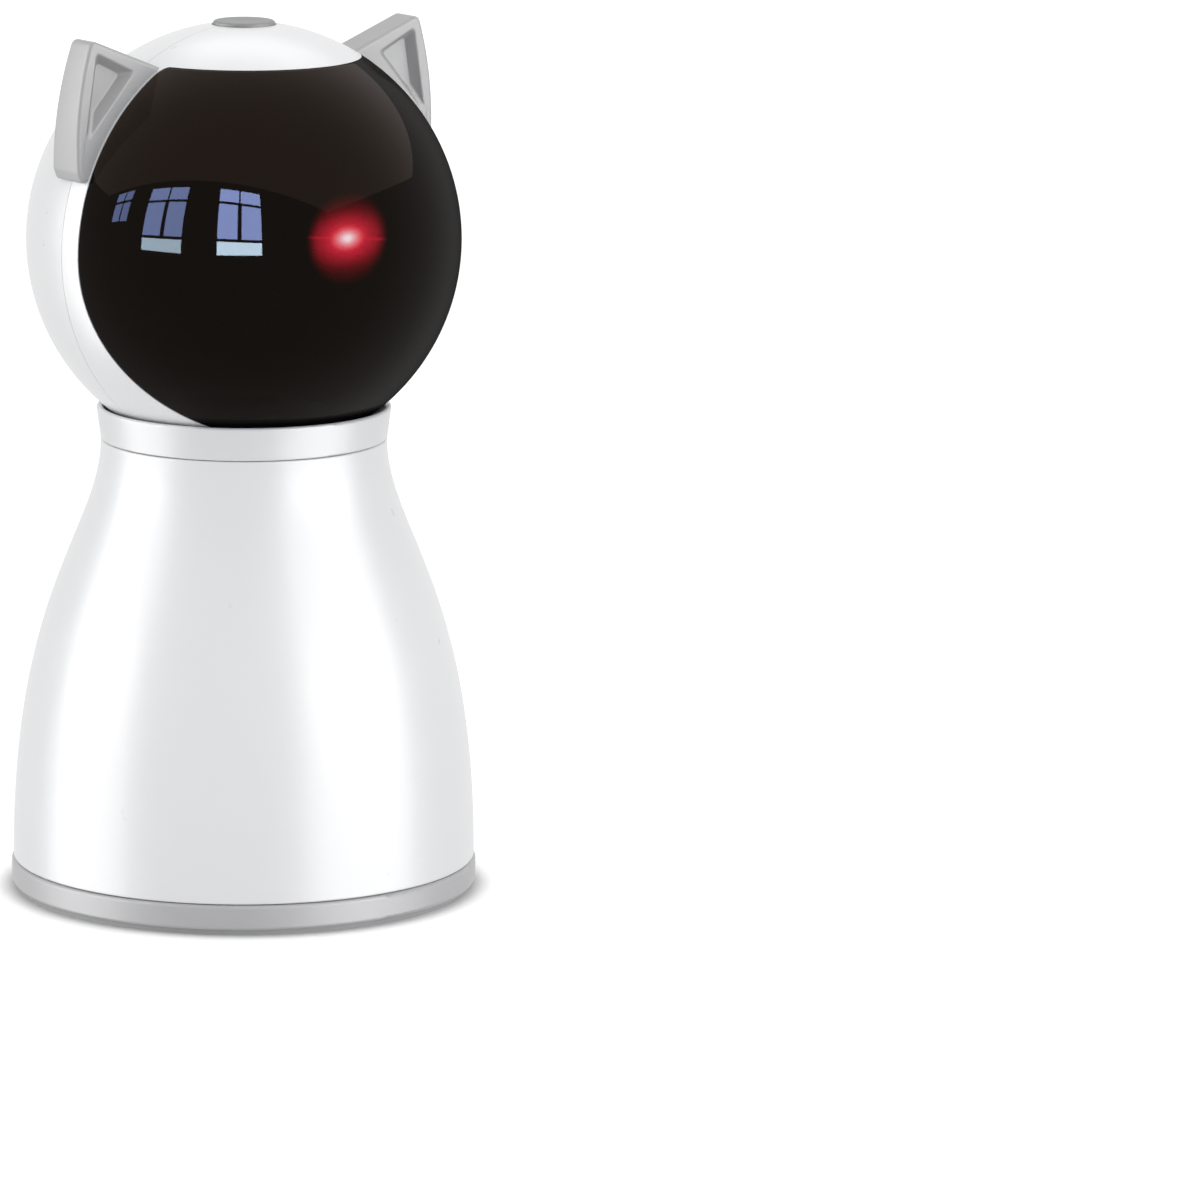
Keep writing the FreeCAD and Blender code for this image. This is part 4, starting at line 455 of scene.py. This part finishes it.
# %% Metals
LINES_PER_MM, LINE_SPREAD = 3.0, 0.16
LINE_STRENGTH, LINE_DEPTH = 0.6, 0.003
STAINS_PER_MM, STAIN_DARK, STAIN_LIGHT = 0.4, 0.88, 1.06
# Colour, roughness, and how closely the lines lie along X, Y and Z.
METALS = {
    "screw_steel": ((0.5, 0.5, 0.51), 0.34, (1.0, 1.0, 1.0)),
    "spring_steel": ((0.3, 0.3, 0.33), 0.3, (0.2, 0.2, 3.0)),
    "motor_steel": ((0.55, 0.55, 0.56), 0.36, (0.2, 0.2, 2.0)),
    "shaft_steel": ((0.62, 0.62, 0.62), 0.22, (3.0, 3.0, 0.3)),
    "port_steel": ((0.6, 0.6, 0.61), 0.28, (3.0, 0.2, 3.0)),
    "barrel_brass": ((0.72, 0.52, 0.24), 0.3, (0.3, 4.0, 0.3)),
}
TRACKS_PER_MM, TRACK_SHARE = 0.45, 0.5
TRACK_STRENGTH, TRACK_DEPTH = 0.4, 0.02
MASK_GREEN, TRACK_GREEN = (0.02, 0.13, 0.055), (0.035, 0.2, 0.085)
MASK_ROUGHNESS, MASK_SPREAD, MASK_PER_MM = 0.32, 0.1, 0.8


def metal(name, colour, roughness, stretch):
    finish = Finish(name)
    spot = in_millimetres(finish)
    lines = noise(finish, spot * stretch, LINES_PER_MM)
    stains = noise(finish, spot, STAINS_PER_MM)
    return finish.surface(principled(finish, {
        "Base Color": between(finish, stains, shaded(colour, STAIN_DARK),
                              shaded(colour, STAIN_LIGHT)),
        "Metallic": 1.0,
        "Roughness": roughness - LINE_SPREAD / 2 + LINE_SPREAD * lines,
        "Normal": bump(finish, lines, LINE_STRENGTH, LINE_DEPTH)}))


def board_green():
    finish = Finish("board_green")
    spot = in_millimetres(finish)
    blocks = finish.node("ShaderNodeTexVoronoi", {"distance": "MANHATTAN"},
                         {"Vector": spot, "Scale": TRACKS_PER_MM})
    step = finish.node("ShaderNodeMath", {"operation": "GREATER_THAN"},
                       {0: blocks, 1: TRACK_SHARE})
    return finish.surface(principled(finish, {
        "Base Color": between(finish, step, MASK_GREEN, TRACK_GREEN),
        "Roughness": MASK_ROUGHNESS + MASK_SPREAD * noise(finish, spot, MASK_PER_MM),
        "Normal": bump(finish, step, TRACK_STRENGTH, TRACK_DEPTH)}))


for slot, recipe in METALS.items():
    FINISHES[slot] = metal(slot, *recipe)
FINISHES["board_green"] = board_green()
print("finishes so far:", len(FINISHES))

# %% [markdown]
# ## The smoked visor
# The visor is polished and nearly black, and a little of the laser shows through it.  A
# refracting glass would bend the dark inside into view and cost many light bounces, so the
# body is a dark gloss that lets a small, even share of light straight through.  A low index
# keeps its mirror weaker than the white plastic's, and a dull share takes over where the
# surface turns away, because the smoke swallows the light there.

# %% Visor and lens finishes
SMOKE_DARK, SMOKE_LIGHT = (0.003, 0.0021, 0.0015), (0.0045, 0.0032, 0.0024)
SMOKE_PER_MM, SMOKE_DETAIL = 0.05, 3.0
VISOR_SEE_THROUGH = 0.012
MIRROR_INDEX, MIRROR_TINT = 1.15, (1.0, 0.8, 0.68)
MIRROR_ROUGHNESS, WIPED_SPREAD, WIPED_PER_MM = 0.015, 0.02, 0.15
DULL_ROUGHNESS, DULL_INDEX = 0.6, 1.05
DULL_START, DULL_END = 0.3, 0.92
LENS_DARK, LENS_LIGHT, LENS_PER_MM = (0.75, 0.08, 0.07), (0.85, 0.12, 0.1), 0.6
LENS_ROUGHNESS, LENS_GLOW = 0.1, 4.0


def visor_smoke():
    finish = Finish("visor_smoke")
    spot = in_millimetres(finish)
    haze = noise(finish, spot, SMOKE_PER_MM, SMOKE_DETAIL)
    base = between(finish, haze, SMOKE_DARK, SMOKE_LIGHT)
    wiped = MIRROR_ROUGHNESS + WIPED_SPREAD * noise(finish, spot, WIPED_PER_MM)
    polished = principled(finish, {
        "Base Color": base, "Roughness": wiped, "IOR": MIRROR_INDEX,
        "Specular Tint": opaque(MIRROR_TINT), "Alpha": 1 - VISOR_SEE_THROUGH})
    smoke = principled(finish, {
        "Base Color": base, "Roughness": DULL_ROUGHNESS, "IOR": DULL_INDEX})
    facing = finish.node("ShaderNodeLayerWeight", {}, {"Blend": 0.5}, "Facing")
    turned = ranged(finish, facing, DULL_START, DULL_END, 0.0, 1.0)
    return finish.surface(
        finish.node("ShaderNodeMixShader", {}, {0: turned, 1: polished, 2: smoke}))


def lens_red():
    finish = Finish("lens_red")
    flow = noise(finish, in_millimetres(finish), LENS_PER_MM)
    base = between(finish, flow, LENS_DARK, LENS_LIGHT)
    return finish.surface(principled(finish, {
        "Base Color": base, "Roughness": LENS_ROUGHNESS,
        "Emission Color": base, "Emission Strength": LENS_GLOW}))


FINISHES["visor_smoke"] = visor_smoke()
FINISHES["lens_red"] = lens_red()
print("finishes:", len(FINISHES))

# %% [markdown]
# ## Dressing the solids
# Each measured solid names what it is made of.  Its finish could be given by hand, but found
# by that name it stays right when a solid is added.  Every solid also joins the plastics
# that the bands light.

# %% Put the finishes on the measured solids
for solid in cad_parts.values():
    for place in solid.material_slots:
        place.material = FINISHES[place.material.name.split(".")[0]]
    PLASTICS.objects.link(solid)
print("solids dressed:", len(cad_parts))

# %% [markdown]
# ## Pieces from loops
# The visor, the ears and the button share one way of making: closed loops of equally many
# points, joined by four-sided faces, with a flat face over each end.  Where the loops lie
# close together an edge is rounded, so every radius is chosen and nothing has to be
# smoothed afterwards.  Edges that turn sharply are marked, and the rest shades smoothly.

# %% Loops into a piece
BALL_RADIUS = 38.9
SHARP_ANGLE = math.radians(32)
QUARTER = math.pi / 2


def steps(first, last, count):
    """Evenly spaced numbers, both ends included."""
    return [first + (last - first) * index / (count - 1) for index in range(count)]


def edge_round(radius, first, last, count):
    """Pairs of distances to the two faces that an edge round joins, between two turns."""
    return [(radius * (1 - math.sin(turn)), radius * (1 - math.cos(turn)))
            for turn in steps(first, last, count)]


def lofted(name, loops, body, finishes):
    """A closed piece through loops that are given in millimetres."""
    shape = bmesh.new()
    rows = [[shape.verts.new(Vector(spot) * MM) for spot in loop] for loop in loops]
    for lower, upper in zip(rows, rows[1:]):
        for corner, vertex in enumerate(lower):
            after = (corner + 1) % len(lower)
            shape.faces.new((vertex, lower[after], upper[after], upper[corner]))
    for end in (rows[0], rows[-1]):
        shape.faces.new(end)
    bmesh.ops.recalc_face_normals(shape, faces=shape.faces[:])
    mesh = bpy.data.meshes.new(name)
    shape.to_mesh(mesh)
    shape.free()
    mesh.shade_smooth()
    mesh.set_sharp_from_angle(angle=SHARP_ANGLE)
    for finish in finishes:
        mesh.materials.append(finish)
    piece = bpy.data.objects.new(name, mesh)
    bpy.context.scene.collection.objects.link(piece)
    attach(piece, body)
    print(name, "has", len(mesh.polygons), "faces")
    return piece


# %% [markdown]
# ## The visor
# The real visor is one moulded bowl, 1.8 mm thick, that carries on the ball's curve.  It
# could be cut from a sphere, but the cut would leave slivers along its edge.  Here every
# loop is a level slice through the bowl: out along the outer arc and back along the inner
# one.  How far a slice reaches round the ball comes from the visor's outline seen from the
# side: a straight edge above the middle, a long sweep forward below it.  Small curves in
# place of the corners break its edge, as polishing does.  Its hidden inner face is clearer,
# so that the laser is dimmed once and not twice.

# %% Visor from level slices
VISOR_WALL = 1.8
VISOR_LOW, VISOR_LOW_INSIDE, VISOR_TOP = -33.52, -32.24, 32.7
CORNER = 1.6
EDGE_ROUND, TOP_ROUND = 0.25, 0.2
SMALLEST_SHARE = 0.2
SIDE_EDGE = 4.75
SIDE_SWEEP = 45.0
COLUMNS, SOFT_POINTS = 97, 5
FIRST_TURN, LAST_CORNER_TURN = math.radians(2), math.radians(60)
LOW_SLICES, HIGH_SLICES, CORNER_SLICES, ROUND_SLICES = 44, 40, 7, 5
INNER_SIDE = 0.8
INNER_DARK, INNER_LIGHT = (0.005, 0.0032, 0.002), (0.007, 0.0045, 0.003)
INNER_ROUGHNESS, INNER_GLOSS, INNER_ALPHA = 0.3, 0.1, 0.15


def edge_depth(height):
    """How far before the seam the side edge lies, at a height above the ball's middle."""
    if height < 0:
        return SIDE_EDGE + SIDE_SWEEP - math.sqrt(SIDE_SWEEP ** 2 - height ** 2)
    above_corner = max(0.0, height - (VISOR_TOP - CORNER))
    return SIDE_EDGE + CORNER - math.sqrt(max(0.0, CORNER ** 2 - above_corner ** 2))


def softened(before, corner, after):
    """A small curve in place of a corner."""
    return [before.lerp(corner, turn).lerp(corner.lerp(after, turn), turn)
            for turn in steps(0, 1, SOFT_POINTS)]


def slice_of_visor(outer, inner, inset=0.0):
    """Out along the outer arc and back along the inner one, each at its own height."""
    arcs, corners = [], []
    for height, radius, way in ((outer, BALL_RADIUS, 1), (inner, BALL_RADIUS - VISOR_WALL, -1)):
        reach = math.sqrt(radius ** 2 - height ** 2) - inset * way
        half = math.acos((edge_depth(height) + inset) / reach)

        def spot(angle):
            aside, before = reach * math.sin(angle), -reach * math.cos(angle)
            return Vector((aside, before, HEAD_HEIGHT + height))

        short = half - min(EDGE_ROUND / reach, half * SMALLEST_SHARE)
        arcs.append([spot(angle) for angle in steps(-short * way, short * way, COLUMNS)])
        corners.append((spot(-half * way), spot(half * way)))
    share = EDGE_ROUND / (corners[0][1] - corners[1][0]).length
    loop = []
    for side in (0, 1):
        first, second = corners[side][1], corners[1 - side][0]
        loop += arcs[side][1:-1]
        loop += softened(arcs[side][-1], first, first.lerp(second, share))
        loop += softened(second.lerp(first, share), second, arcs[1 - side][0])
    return loop


def visor_inner_face():
    """Nearly clear smoke for the hidden inner face."""
    finish = Finish("visor_inner_face")
    haze = noise(finish, in_millimetres(finish), SMOKE_PER_MM)
    return finish.surface(principled(finish, {
        "Base Color": between(finish, haze, INNER_DARK, INNER_LIGHT),
        "Roughness": INNER_ROUGHNESS, "Specular IOR Level": INNER_GLOSS, "Alpha": INNER_ALPHA}))


corner_foot = VISOR_TOP - CORNER
slices = [slice_of_visor(VISOR_LOW * math.cos(turn), VISOR_LOW_INSIDE * math.cos(turn))
          for turn in steps(FIRST_TURN, QUARTER, LOW_SLICES)]
heights = steps(0, corner_foot, HIGH_SLICES)[1:]
heights += [corner_foot + CORNER * math.sin(turn)
            for turn in steps(0, LAST_CORNER_TURN, CORNER_SLICES)[1:]]
slices += [slice_of_visor(height, height) for height in heights]
for drop, inset in edge_round(TOP_ROUND, 0, QUARTER, ROUND_SLICES):
    slices.append(slice_of_visor(VISOR_TOP - drop, VISOR_TOP - drop, inset))
visor = lofted("visor_pane", slices, "head",
               [FINISHES["visor_smoke"], visor_inner_face()])
for face in visor.data.polygons:
    if (face.center - HEAD_MIDDLE).length < (BALL_RADIUS - VISOR_WALL * INNER_SIDE) * MM:
        face.material_index = 1
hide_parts("visor")
POLISHED.objects.link(visor)

# %% [markdown]
# ## The ears
# Each ear is a thick moulded triangle that sits on the ball, with a tapered hollow in its
# front.  A modelled solid gives its faces, but the real hollow has a soft rim where the
# tool was polished, and that rim catches the light.  Loops run from the back of the ear,
# round its edge, over its face, and down into the hollow.  A loop has three sides, one for
# the outer edge, one for the slope to the crown and one along the ball, so that each side
# of the outline meets the same side of the hollow.

# %% Outline of an ear
EAR_ROUND = 0.7
EAR_BOTTOM = 13.3
HEEL = Vector((37.4, EAR_BOTTOM))
HEEL_AIM = 15.2
ROOT_ASIDE = 33.1
HEEL_ROUND, HEEL_TIGHTER = 1.1, 0.8
OUTER_MIDDLE, OUTER_RADIUS = Vector((-23.65, 19.0)), 62.0
TIP_START_HEIGHT, TIP_RADIUS = 37.1, 1.2
TIP_END = Vector((33.95, 37.877))
SLOPE_DEGREES = 21.9
SLOPE_WAY = Vector((-1, 0)).slerp(Vector((0, -1)), SLOPE_DEGREES / 90)
SLOPE_LEAD, CROWN_RUN = 0.1, 17.3
OUTER_POINTS, TIP_POINTS, CORNER_POINTS = 60, 13, 9
TIP_HALF, CORNER_HALF = TIP_POINTS // 2, CORNER_POINTS // 2


def on_outer(height):
    """The outer edge's place at a height."""
    aside = math.sqrt(OUTER_RADIUS ** 2 - (height - OUTER_MIDDLE.y) ** 2)
    return Vector((OUTER_MIDDLE.x + aside, height))


def to_left(way):
    return Vector((-way.y, way.x))


def middle_of_arc(start, end, radius):
    """The middle of an arc, which lies to the left of the way from its start to its end."""
    chord = end - start
    rise = math.sqrt(max(0.0, radius ** 2 - (chord.length / 2) ** 2))
    return (start + end) / 2 + to_left(chord.normalized()) * rise


def arc_between(start, end, radius, count):
    """Points on the shorter arc from start to end."""
    middle = middle_of_arc(start, end, radius)
    first = math.atan2(start.y - middle.y, start.x - middle.x)
    sweep = 2 * math.asin(min(1.0, (end - start).length / 2 / radius))
    return [middle + Vector((math.cos(first + turn), math.sin(first + turn))) * radius
            for turn in steps(0, sweep, count)]


def round_corner(before, corner, after, radius):
    """An arc in place of a corner."""
    arriving, leaving = (corner - before).normalized(), (after - corner).normalized()
    back = radius * math.tan(arriving.angle(leaving) / 2)
    start, end = corner - arriving * back, corner + leaving * back
    return arc_between(start, end, radius, CORNER_POINTS)


def ear_chains(depth):
    """The free outline, a depth inside the real one: heel to tip, and tip to crown."""
    heel_way = (on_outer(HEEL_AIM) - HEEL).normalized()
    start = HEEL + to_left(heel_way) * depth
    low = start + heel_way * ((EAR_BOTTOM + depth - start.y) / heel_way.y)
    away = start - OUTER_MIDDLE
    along = away.dot(heel_way)
    run = math.sqrt(along ** 2 - away.length_squared + (OUTER_RADIUS - depth) ** 2) - along
    high = start + heel_way * run
    tip_start = on_outer(TIP_START_HEIGHT)
    tip_middle = middle_of_arc(tip_start, TIP_END, TIP_RADIUS)
    tip = [tip_middle + (spot - tip_middle) * (TIP_RADIUS - depth) / TIP_RADIUS
           for spot in arc_between(tip_start, TIP_END, TIP_RADIUS, TIP_POINTS)]
    slope_start = TIP_END + to_left(SLOPE_WAY) * depth
    root = Vector((ROOT_ASIDE, EAR_BOTTOM + depth))
    side = [root] + round_corner(root, low, high, EAR_ROUND * HEEL_ROUND - depth * HEEL_TIGHTER)
    side += arc_between(high, tip[0], OUTER_RADIUS - depth, OUTER_POINTS) + tip[1:TIP_HALF + 1]
    slope = [slope_start + SLOPE_WAY * run for run in (SLOPE_LEAD + depth, CROWN_RUN)]
    return side, tip[TIP_HALF:] + slope


print("ear corners:", [tuple(round(c, 2) for c in spot) for spot in (HEEL, TIP_END)])

# %% [markdown]
# ## From outline to loops
# An ear's outline runs on into the ball that it is seated on.  A cut with the ball would
# leave ragged faces there, so each outline is followed to where it enters the ball and is
# closed along it.  Loops can only be joined when they have equally many points, so every
# side is measured out again in even steps.

# %% Loops of an ear
SEAT_RADIUS = 38.95
SIDE_POINTS = (96, 60, 72)
FINE_POINTS = 300
HOLLOW_CORNERS = (Vector((36.2, 21.1)), Vector((34.0, 35.7)), Vector((26.8, 32.1)))
HOLLOW_ROUND = 0.55


def resampled(chain, count):
    """The chain again, with evenly spaced points."""
    lengths = [0.0]
    for before, after in zip(chain, chain[1:]):
        lengths.append(lengths[-1] + (after - before).length)
    spots, index = [], 0
    for goal in steps(0, lengths[-1], count):
        while index < len(chain) - 2 and lengths[index + 1] < goal:
            index += 1
        share = (goal - lengths[index]) / max(lengths[index + 1] - lengths[index], 1e-9)
        spots.append(chain[index].lerp(chain[index + 1], min(share, 1.0)))
    return spots


def clear_of_ball(chain, depth_at):
    """The part of a chain that stands clear of the ball, where the chain starts inside it."""
    chain = resampled(chain, FINE_POINTS)
    clear = [spot.length - math.sqrt(SEAT_RADIUS ** 2 - depth_at(spot.y) ** 2) for spot in chain]
    index = max(place for place, gap in enumerate(clear) if gap <= 0)
    share = clear[index] / (clear[index] - clear[index + 1])
    return [chain[index].lerp(chain[index + 1], share)] + chain[index + 1:]


def ear_loop(inset, depth_at):
    """One loop at an inset from the outline, as far back as depth_at gives for each height."""
    side, slope = ear_chains(inset)
    side = resampled(clear_of_ball(side, depth_at), SIDE_POINTS[0] + 1)
    slope = resampled(clear_of_ball(slope[::-1], depth_at)[::-1], SIDE_POINTS[1] + 1)
    first, last = math.atan2(slope[-1].y, slope[-1].x), math.atan2(side[0].y, side[0].x)
    seat = []
    for turn in steps(first, last, SIDE_POINTS[2] + 1):
        reach = math.sqrt(SEAT_RADIUS ** 2 - depth_at(SEAT_RADIUS * math.sin(turn)) ** 2)
        seat.append(Vector((math.cos(turn), math.sin(turn))) * reach)
    return [(spot.x, depth_at(spot.y), spot.y) for spot in side[:-1] + slope[:-1] + seat[:-1]]


def hollow_loop(shrink, y):
    """The hollow's triangle, made smaller, with round corners; it turns as ear_loop does."""
    ways = [(HOLLOW_CORNERS[(index + 1) % 3] - HOLLOW_CORNERS[index]).normalized()
            for index in range(3)]
    spots = []
    for index, end in enumerate(HOLLOW_CORNERS):
        arriving, leaving = to_left(ways[index - 1]), to_left(ways[index])
        spots.append(end + (arriving + leaving) * shrink / (1 + arriving.dot(leaving)))
    arcs = [round_corner(spots[index - 1], spots[index], spots[(index + 1) % 3], HOLLOW_ROUND)
            for index in range(3)]
    flat = []
    for index, count in enumerate(SIDE_POINTS):
        chain = arcs[index][CORNER_HALF:] + arcs[(index + 1) % 3][:CORNER_HALF + 1]
        flat += resampled(chain, count + 1)[:-1]
    return [(spot.x, y, spot.y) for spot in flat]


print("points in a loop:", sum(SIDE_POINTS))

# %% [markdown]
# ## Edges and hollow
# A moulded edge is never sharp.  The outline at small insets, each a little further round,
# draws that edge as a bevel would, but with a chosen radius all the way.  The hollow's
# triangle at growing depths draws its rim, its tapered wall and its floor.  The left ear is
# the right one mirrored, as both are on the real head.

# %% Ears on the ball
EAR_BACK, EAR_FRONT = 4.1, -4.4
EAR_LEAN, EAR_HEIGHT = 2.2, 25.1
HOLLOW_FLOOR = -2.5
TAPER = math.radians(33)
RIM_ROUND, FLOOR_ROUND = 0.55, 0.3
# A narrow ledge beside an edge round keeps the flat face's shading flat.
LEDGE = 0.08
ROUND_LOOPS, FLOOR_LOOPS = 6, 5


def lean(height):
    """The ear's back leans forward towards its tip."""
    return EAR_BACK - (height - EAR_BOTTOM) * EAR_LEAN / EAR_HEIGHT


def ear_loops():
    """The loops from the back, round the edge and over the face, down to the hollow's floor."""
    loops = [ear_loop(EAR_ROUND + LEDGE, lean)]
    for inset, drop in edge_round(EAR_ROUND, 0, QUARTER, ROUND_LOOPS):
        loops.append(ear_loop(inset, lambda height: lean(height) - drop))
    for inset, rise in edge_round(EAR_ROUND, QUARTER, 0, ROUND_LOOPS):
        loops.append(ear_loop(inset, lambda height: EAR_FRONT + rise))
    loops.append(ear_loop(EAR_ROUND + LEDGE, lambda height: EAR_FRONT))
    loops.append(hollow_loop(-RIM_ROUND - LEDGE, EAR_FRONT))
    for inset, rise in edge_round(RIM_ROUND, 0, QUARTER - TAPER, ROUND_LOOPS):
        loops.append(hollow_loop(-inset, EAR_FRONT + rise))
    rim = RIM_ROUND * (math.cos(TAPER) - 1)
    rim_end, floor_start = (radius * (1 - math.sin(TAPER)) for radius in (RIM_ROUND, FLOOR_ROUND))
    wall = rim + (HOLLOW_FLOOR - floor_start - EAR_FRONT - rim_end) * math.tan(TAPER)
    for turn in steps(QUARTER - TAPER, 0, FLOOR_LOOPS):
        loops.append(hollow_loop(wall + FLOOR_ROUND * (math.cos(TAPER) - math.sin(turn)),
                                 HOLLOW_FLOOR - FLOOR_ROUND * (1 - math.cos(turn))))
    loops.append(hollow_loop(wall + FLOOR_ROUND * math.cos(TAPER) + LEDGE, HOLLOW_FLOOR))
    return [[(x, y, HEAD_HEIGHT + z) for x, y, z in loop] for loop in loops]


right_loops = ear_loops()
for name, node_name, way in (("right_ear", "ear_right", 1), ("left_ear", "ear_left", -1)):
    loops = [[(way * x, y, z) for x, y, z in loop] for loop in right_loops]
    ear = lofted(name, loops, "head", [FINISHES["ear_grey"]])
    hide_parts(node_name)
    PLASTICS.objects.link(ear)

# %% [markdown]
# ## The button
# The push button is a turned form: a stem that presses the switch, a flange that keeps it
# in the head, and a cap with a soft edge and a shallow dish for the fingertip.  Its loops
# are circles along a profile.

# %% Button from circles
STEM_RADIUS, STEM_FOOT = 2.5, 152.2
FLANGE_RADIUS, FLANGE_FOOT, FLANGE_TOP = 6.9, 153.2, 154.2
BUTTON_RADIUS, BUTTON_ROUND, BUTTON_TOP = 5.55, 0.55, 157.18
DISH_RADIUS, DISH_DEPTH, DISH_MIDDLE = 3.6, 0.22, 0.2
CHAMFER = 0.1
ROUND_CIRCLES, DISH_CIRCLES = 8, 12
CIRCLE_POINTS = 96


def button_profile():
    """Radius and height along the button's side, from its foot to the middle of its dish."""
    profile = [(STEM_RADIUS - CHAMFER, STEM_FOOT), (STEM_RADIUS, STEM_FOOT + CHAMFER),
               (STEM_RADIUS, FLANGE_FOOT), (FLANGE_RADIUS, FLANGE_FOOT),
               (FLANGE_RADIUS, FLANGE_TOP), (BUTTON_RADIUS, FLANGE_TOP),
               (BUTTON_RADIUS, FLANGE_TOP + CHAMFER)]
    for drop, inset in edge_round(BUTTON_ROUND, 0, QUARTER, ROUND_CIRCLES):
        profile.append((BUTTON_RADIUS - inset, BUTTON_TOP - drop))
    bow = (DISH_RADIUS ** 2 + DISH_DEPTH ** 2) / (2 * DISH_DEPTH)
    for radius in steps(DISH_RADIUS, DISH_MIDDLE, DISH_CIRCLES):
        sag = bow - math.sqrt(bow ** 2 - radius ** 2)
        profile.append((radius, BUTTON_TOP - DISH_DEPTH + sag))
    return profile


circle = [(math.cos(turn), math.sin(turn))
          for turn in steps(0, 2 * math.pi, CIRCLE_POINTS + 1)[:-1]]
button_loops = [[(radius * x, radius * y, z) for x, y in circle] for radius, z in button_profile()]
button = lofted("push_button", button_loops, "button", [FINISHES["button_grey"]])
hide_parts("button_cap")
PLASTICS.objects.link(button)

# %% [markdown]
# ## The lit laser
# A laser spot behind smoked plastic looks like a hot core with a soft oval halo and a thin
# sideways streak, because the plastic scatters a little light.  A flat disc just before the
# lens carries all three as painted light, an emission in place of that scatter: its glow
# fades with distance, and where it has faded the disc is clear.  The glow is strong, because
# the visor lets so little of it through.  The disc rides with the laser, so it pans and
# tilts with it, and it lights nothing.

# %% Glow in front of the lens
GLOW_REACH = 9.0
GLOW_PLACE = Vector((0, -31.8, 122.0))
GLOW_THICKNESS = 0.1
GLOW_STRENGTH = 80.0
STRETCH = 0.62
STREAK_TILT, STREAK_HALF = 0.1, 0.7
STREAK_START, STREAK_NEAR, STREAK_FAR = 0.1, 0.6, 0.12
BORDER_START = 0.7
# Place between the core and the disc's edge, and share of the glow.
HALO = (
    (0.0, 1.0), (0.05, 0.92), (0.08, 0.72), (0.14, 0.65), (0.2, 0.54), (0.26, 0.36),
    (0.32, 0.28), (0.4, 0.19), (0.5, 0.1), (0.6, 0.045), (0.7, 0.022), (1.0, 0.0),
)
# The same place, and the painted glow's colour.
PAINTED_GLOW_COLOURS = (
    (0.0, (1.0, 0.85, 0.9)), (0.05, (1.0, 0.75, 0.8)), (0.08, (1.0, 0.55, 0.59)),
    (0.14, (1.0, 0.26, 0.31)), (0.2, (1.0, 0.1, 0.13)), (0.26, (1.0, 0.026, 0.068)),
    (1.0, (1.0, 0.005, 0.03)),
)


def laser_glow():
    finish = Finish("laser_glow")
    spot = in_millimetres(finish) - tuple(GLOW_PLACE)
    reach = length_of(finish, spot) * (1 / GLOW_REACH)
    oval = length_of(finish, spot * (STRETCH / GLOW_REACH, 1 / GLOW_REACH, 1 / GLOW_REACH))
    halo_stops = [(place, opaque((share, share, share))) for place, share in HALO]
    painted_glow_stops = [(place, opaque(colour)) for place, colour in PAINTED_GLOW_COLOURS]
    halo = finish.node("ShaderNodeValToRGB", {"stops": halo_stops}, {0: oval})
    painted_glow_colour = finish.node("ShaderNodeValToRGB", {"stops": painted_glow_stops}, {0: oval})
    aside = finish.node("ShaderNodeSeparateXYZ", {}, {0: spot}, "X")
    above = finish.node("ShaderNodeSeparateXYZ", {}, {0: spot}, "Z")
    height = finish.node("ShaderNodeMath", {"operation": "ABSOLUTE"},
                         {0: above + aside * STREAK_TILT})
    thin = ranged(finish, height, 0.0, STREAK_HALF, 1.0, 0.0)
    fade = ranged(finish, reach, STREAK_START, 1.0, STREAK_NEAR, STREAK_FAR, "LINEAR")
    border = ranged(finish, reach, BORDER_START, 1.0, 1.0, 0.0)
    share = finish.node("ShaderNodeMath", {"operation": "MAXIMUM"}, {0: halo, 1: thin * fade})
    # Painted glow: this emission stands in for the laser light that the visor scatters.
    light = finish.node("ShaderNodeEmission", {}, {"Color": painted_glow_colour, "Strength": GLOW_STRENGTH})
    clear = finish.node("ShaderNodeBsdfTransparent")
    return finish.surface(
        finish.node("ShaderNodeMixShader", {}, {0: share * border, 1: clear, 2: light}))


disc_loops = [[(GLOW_PLACE.x + GLOW_REACH * x, GLOW_PLACE.y - depth, GLOW_PLACE.z + GLOW_REACH * z)
               for x, z in circle] for depth in (0, GLOW_THICKNESS)]
glow = lofted("laser_glow", disc_loops, "laser", [laser_glow()])
glow.visible_shadow = glow.visible_diffuse = glow.visible_glossy = False
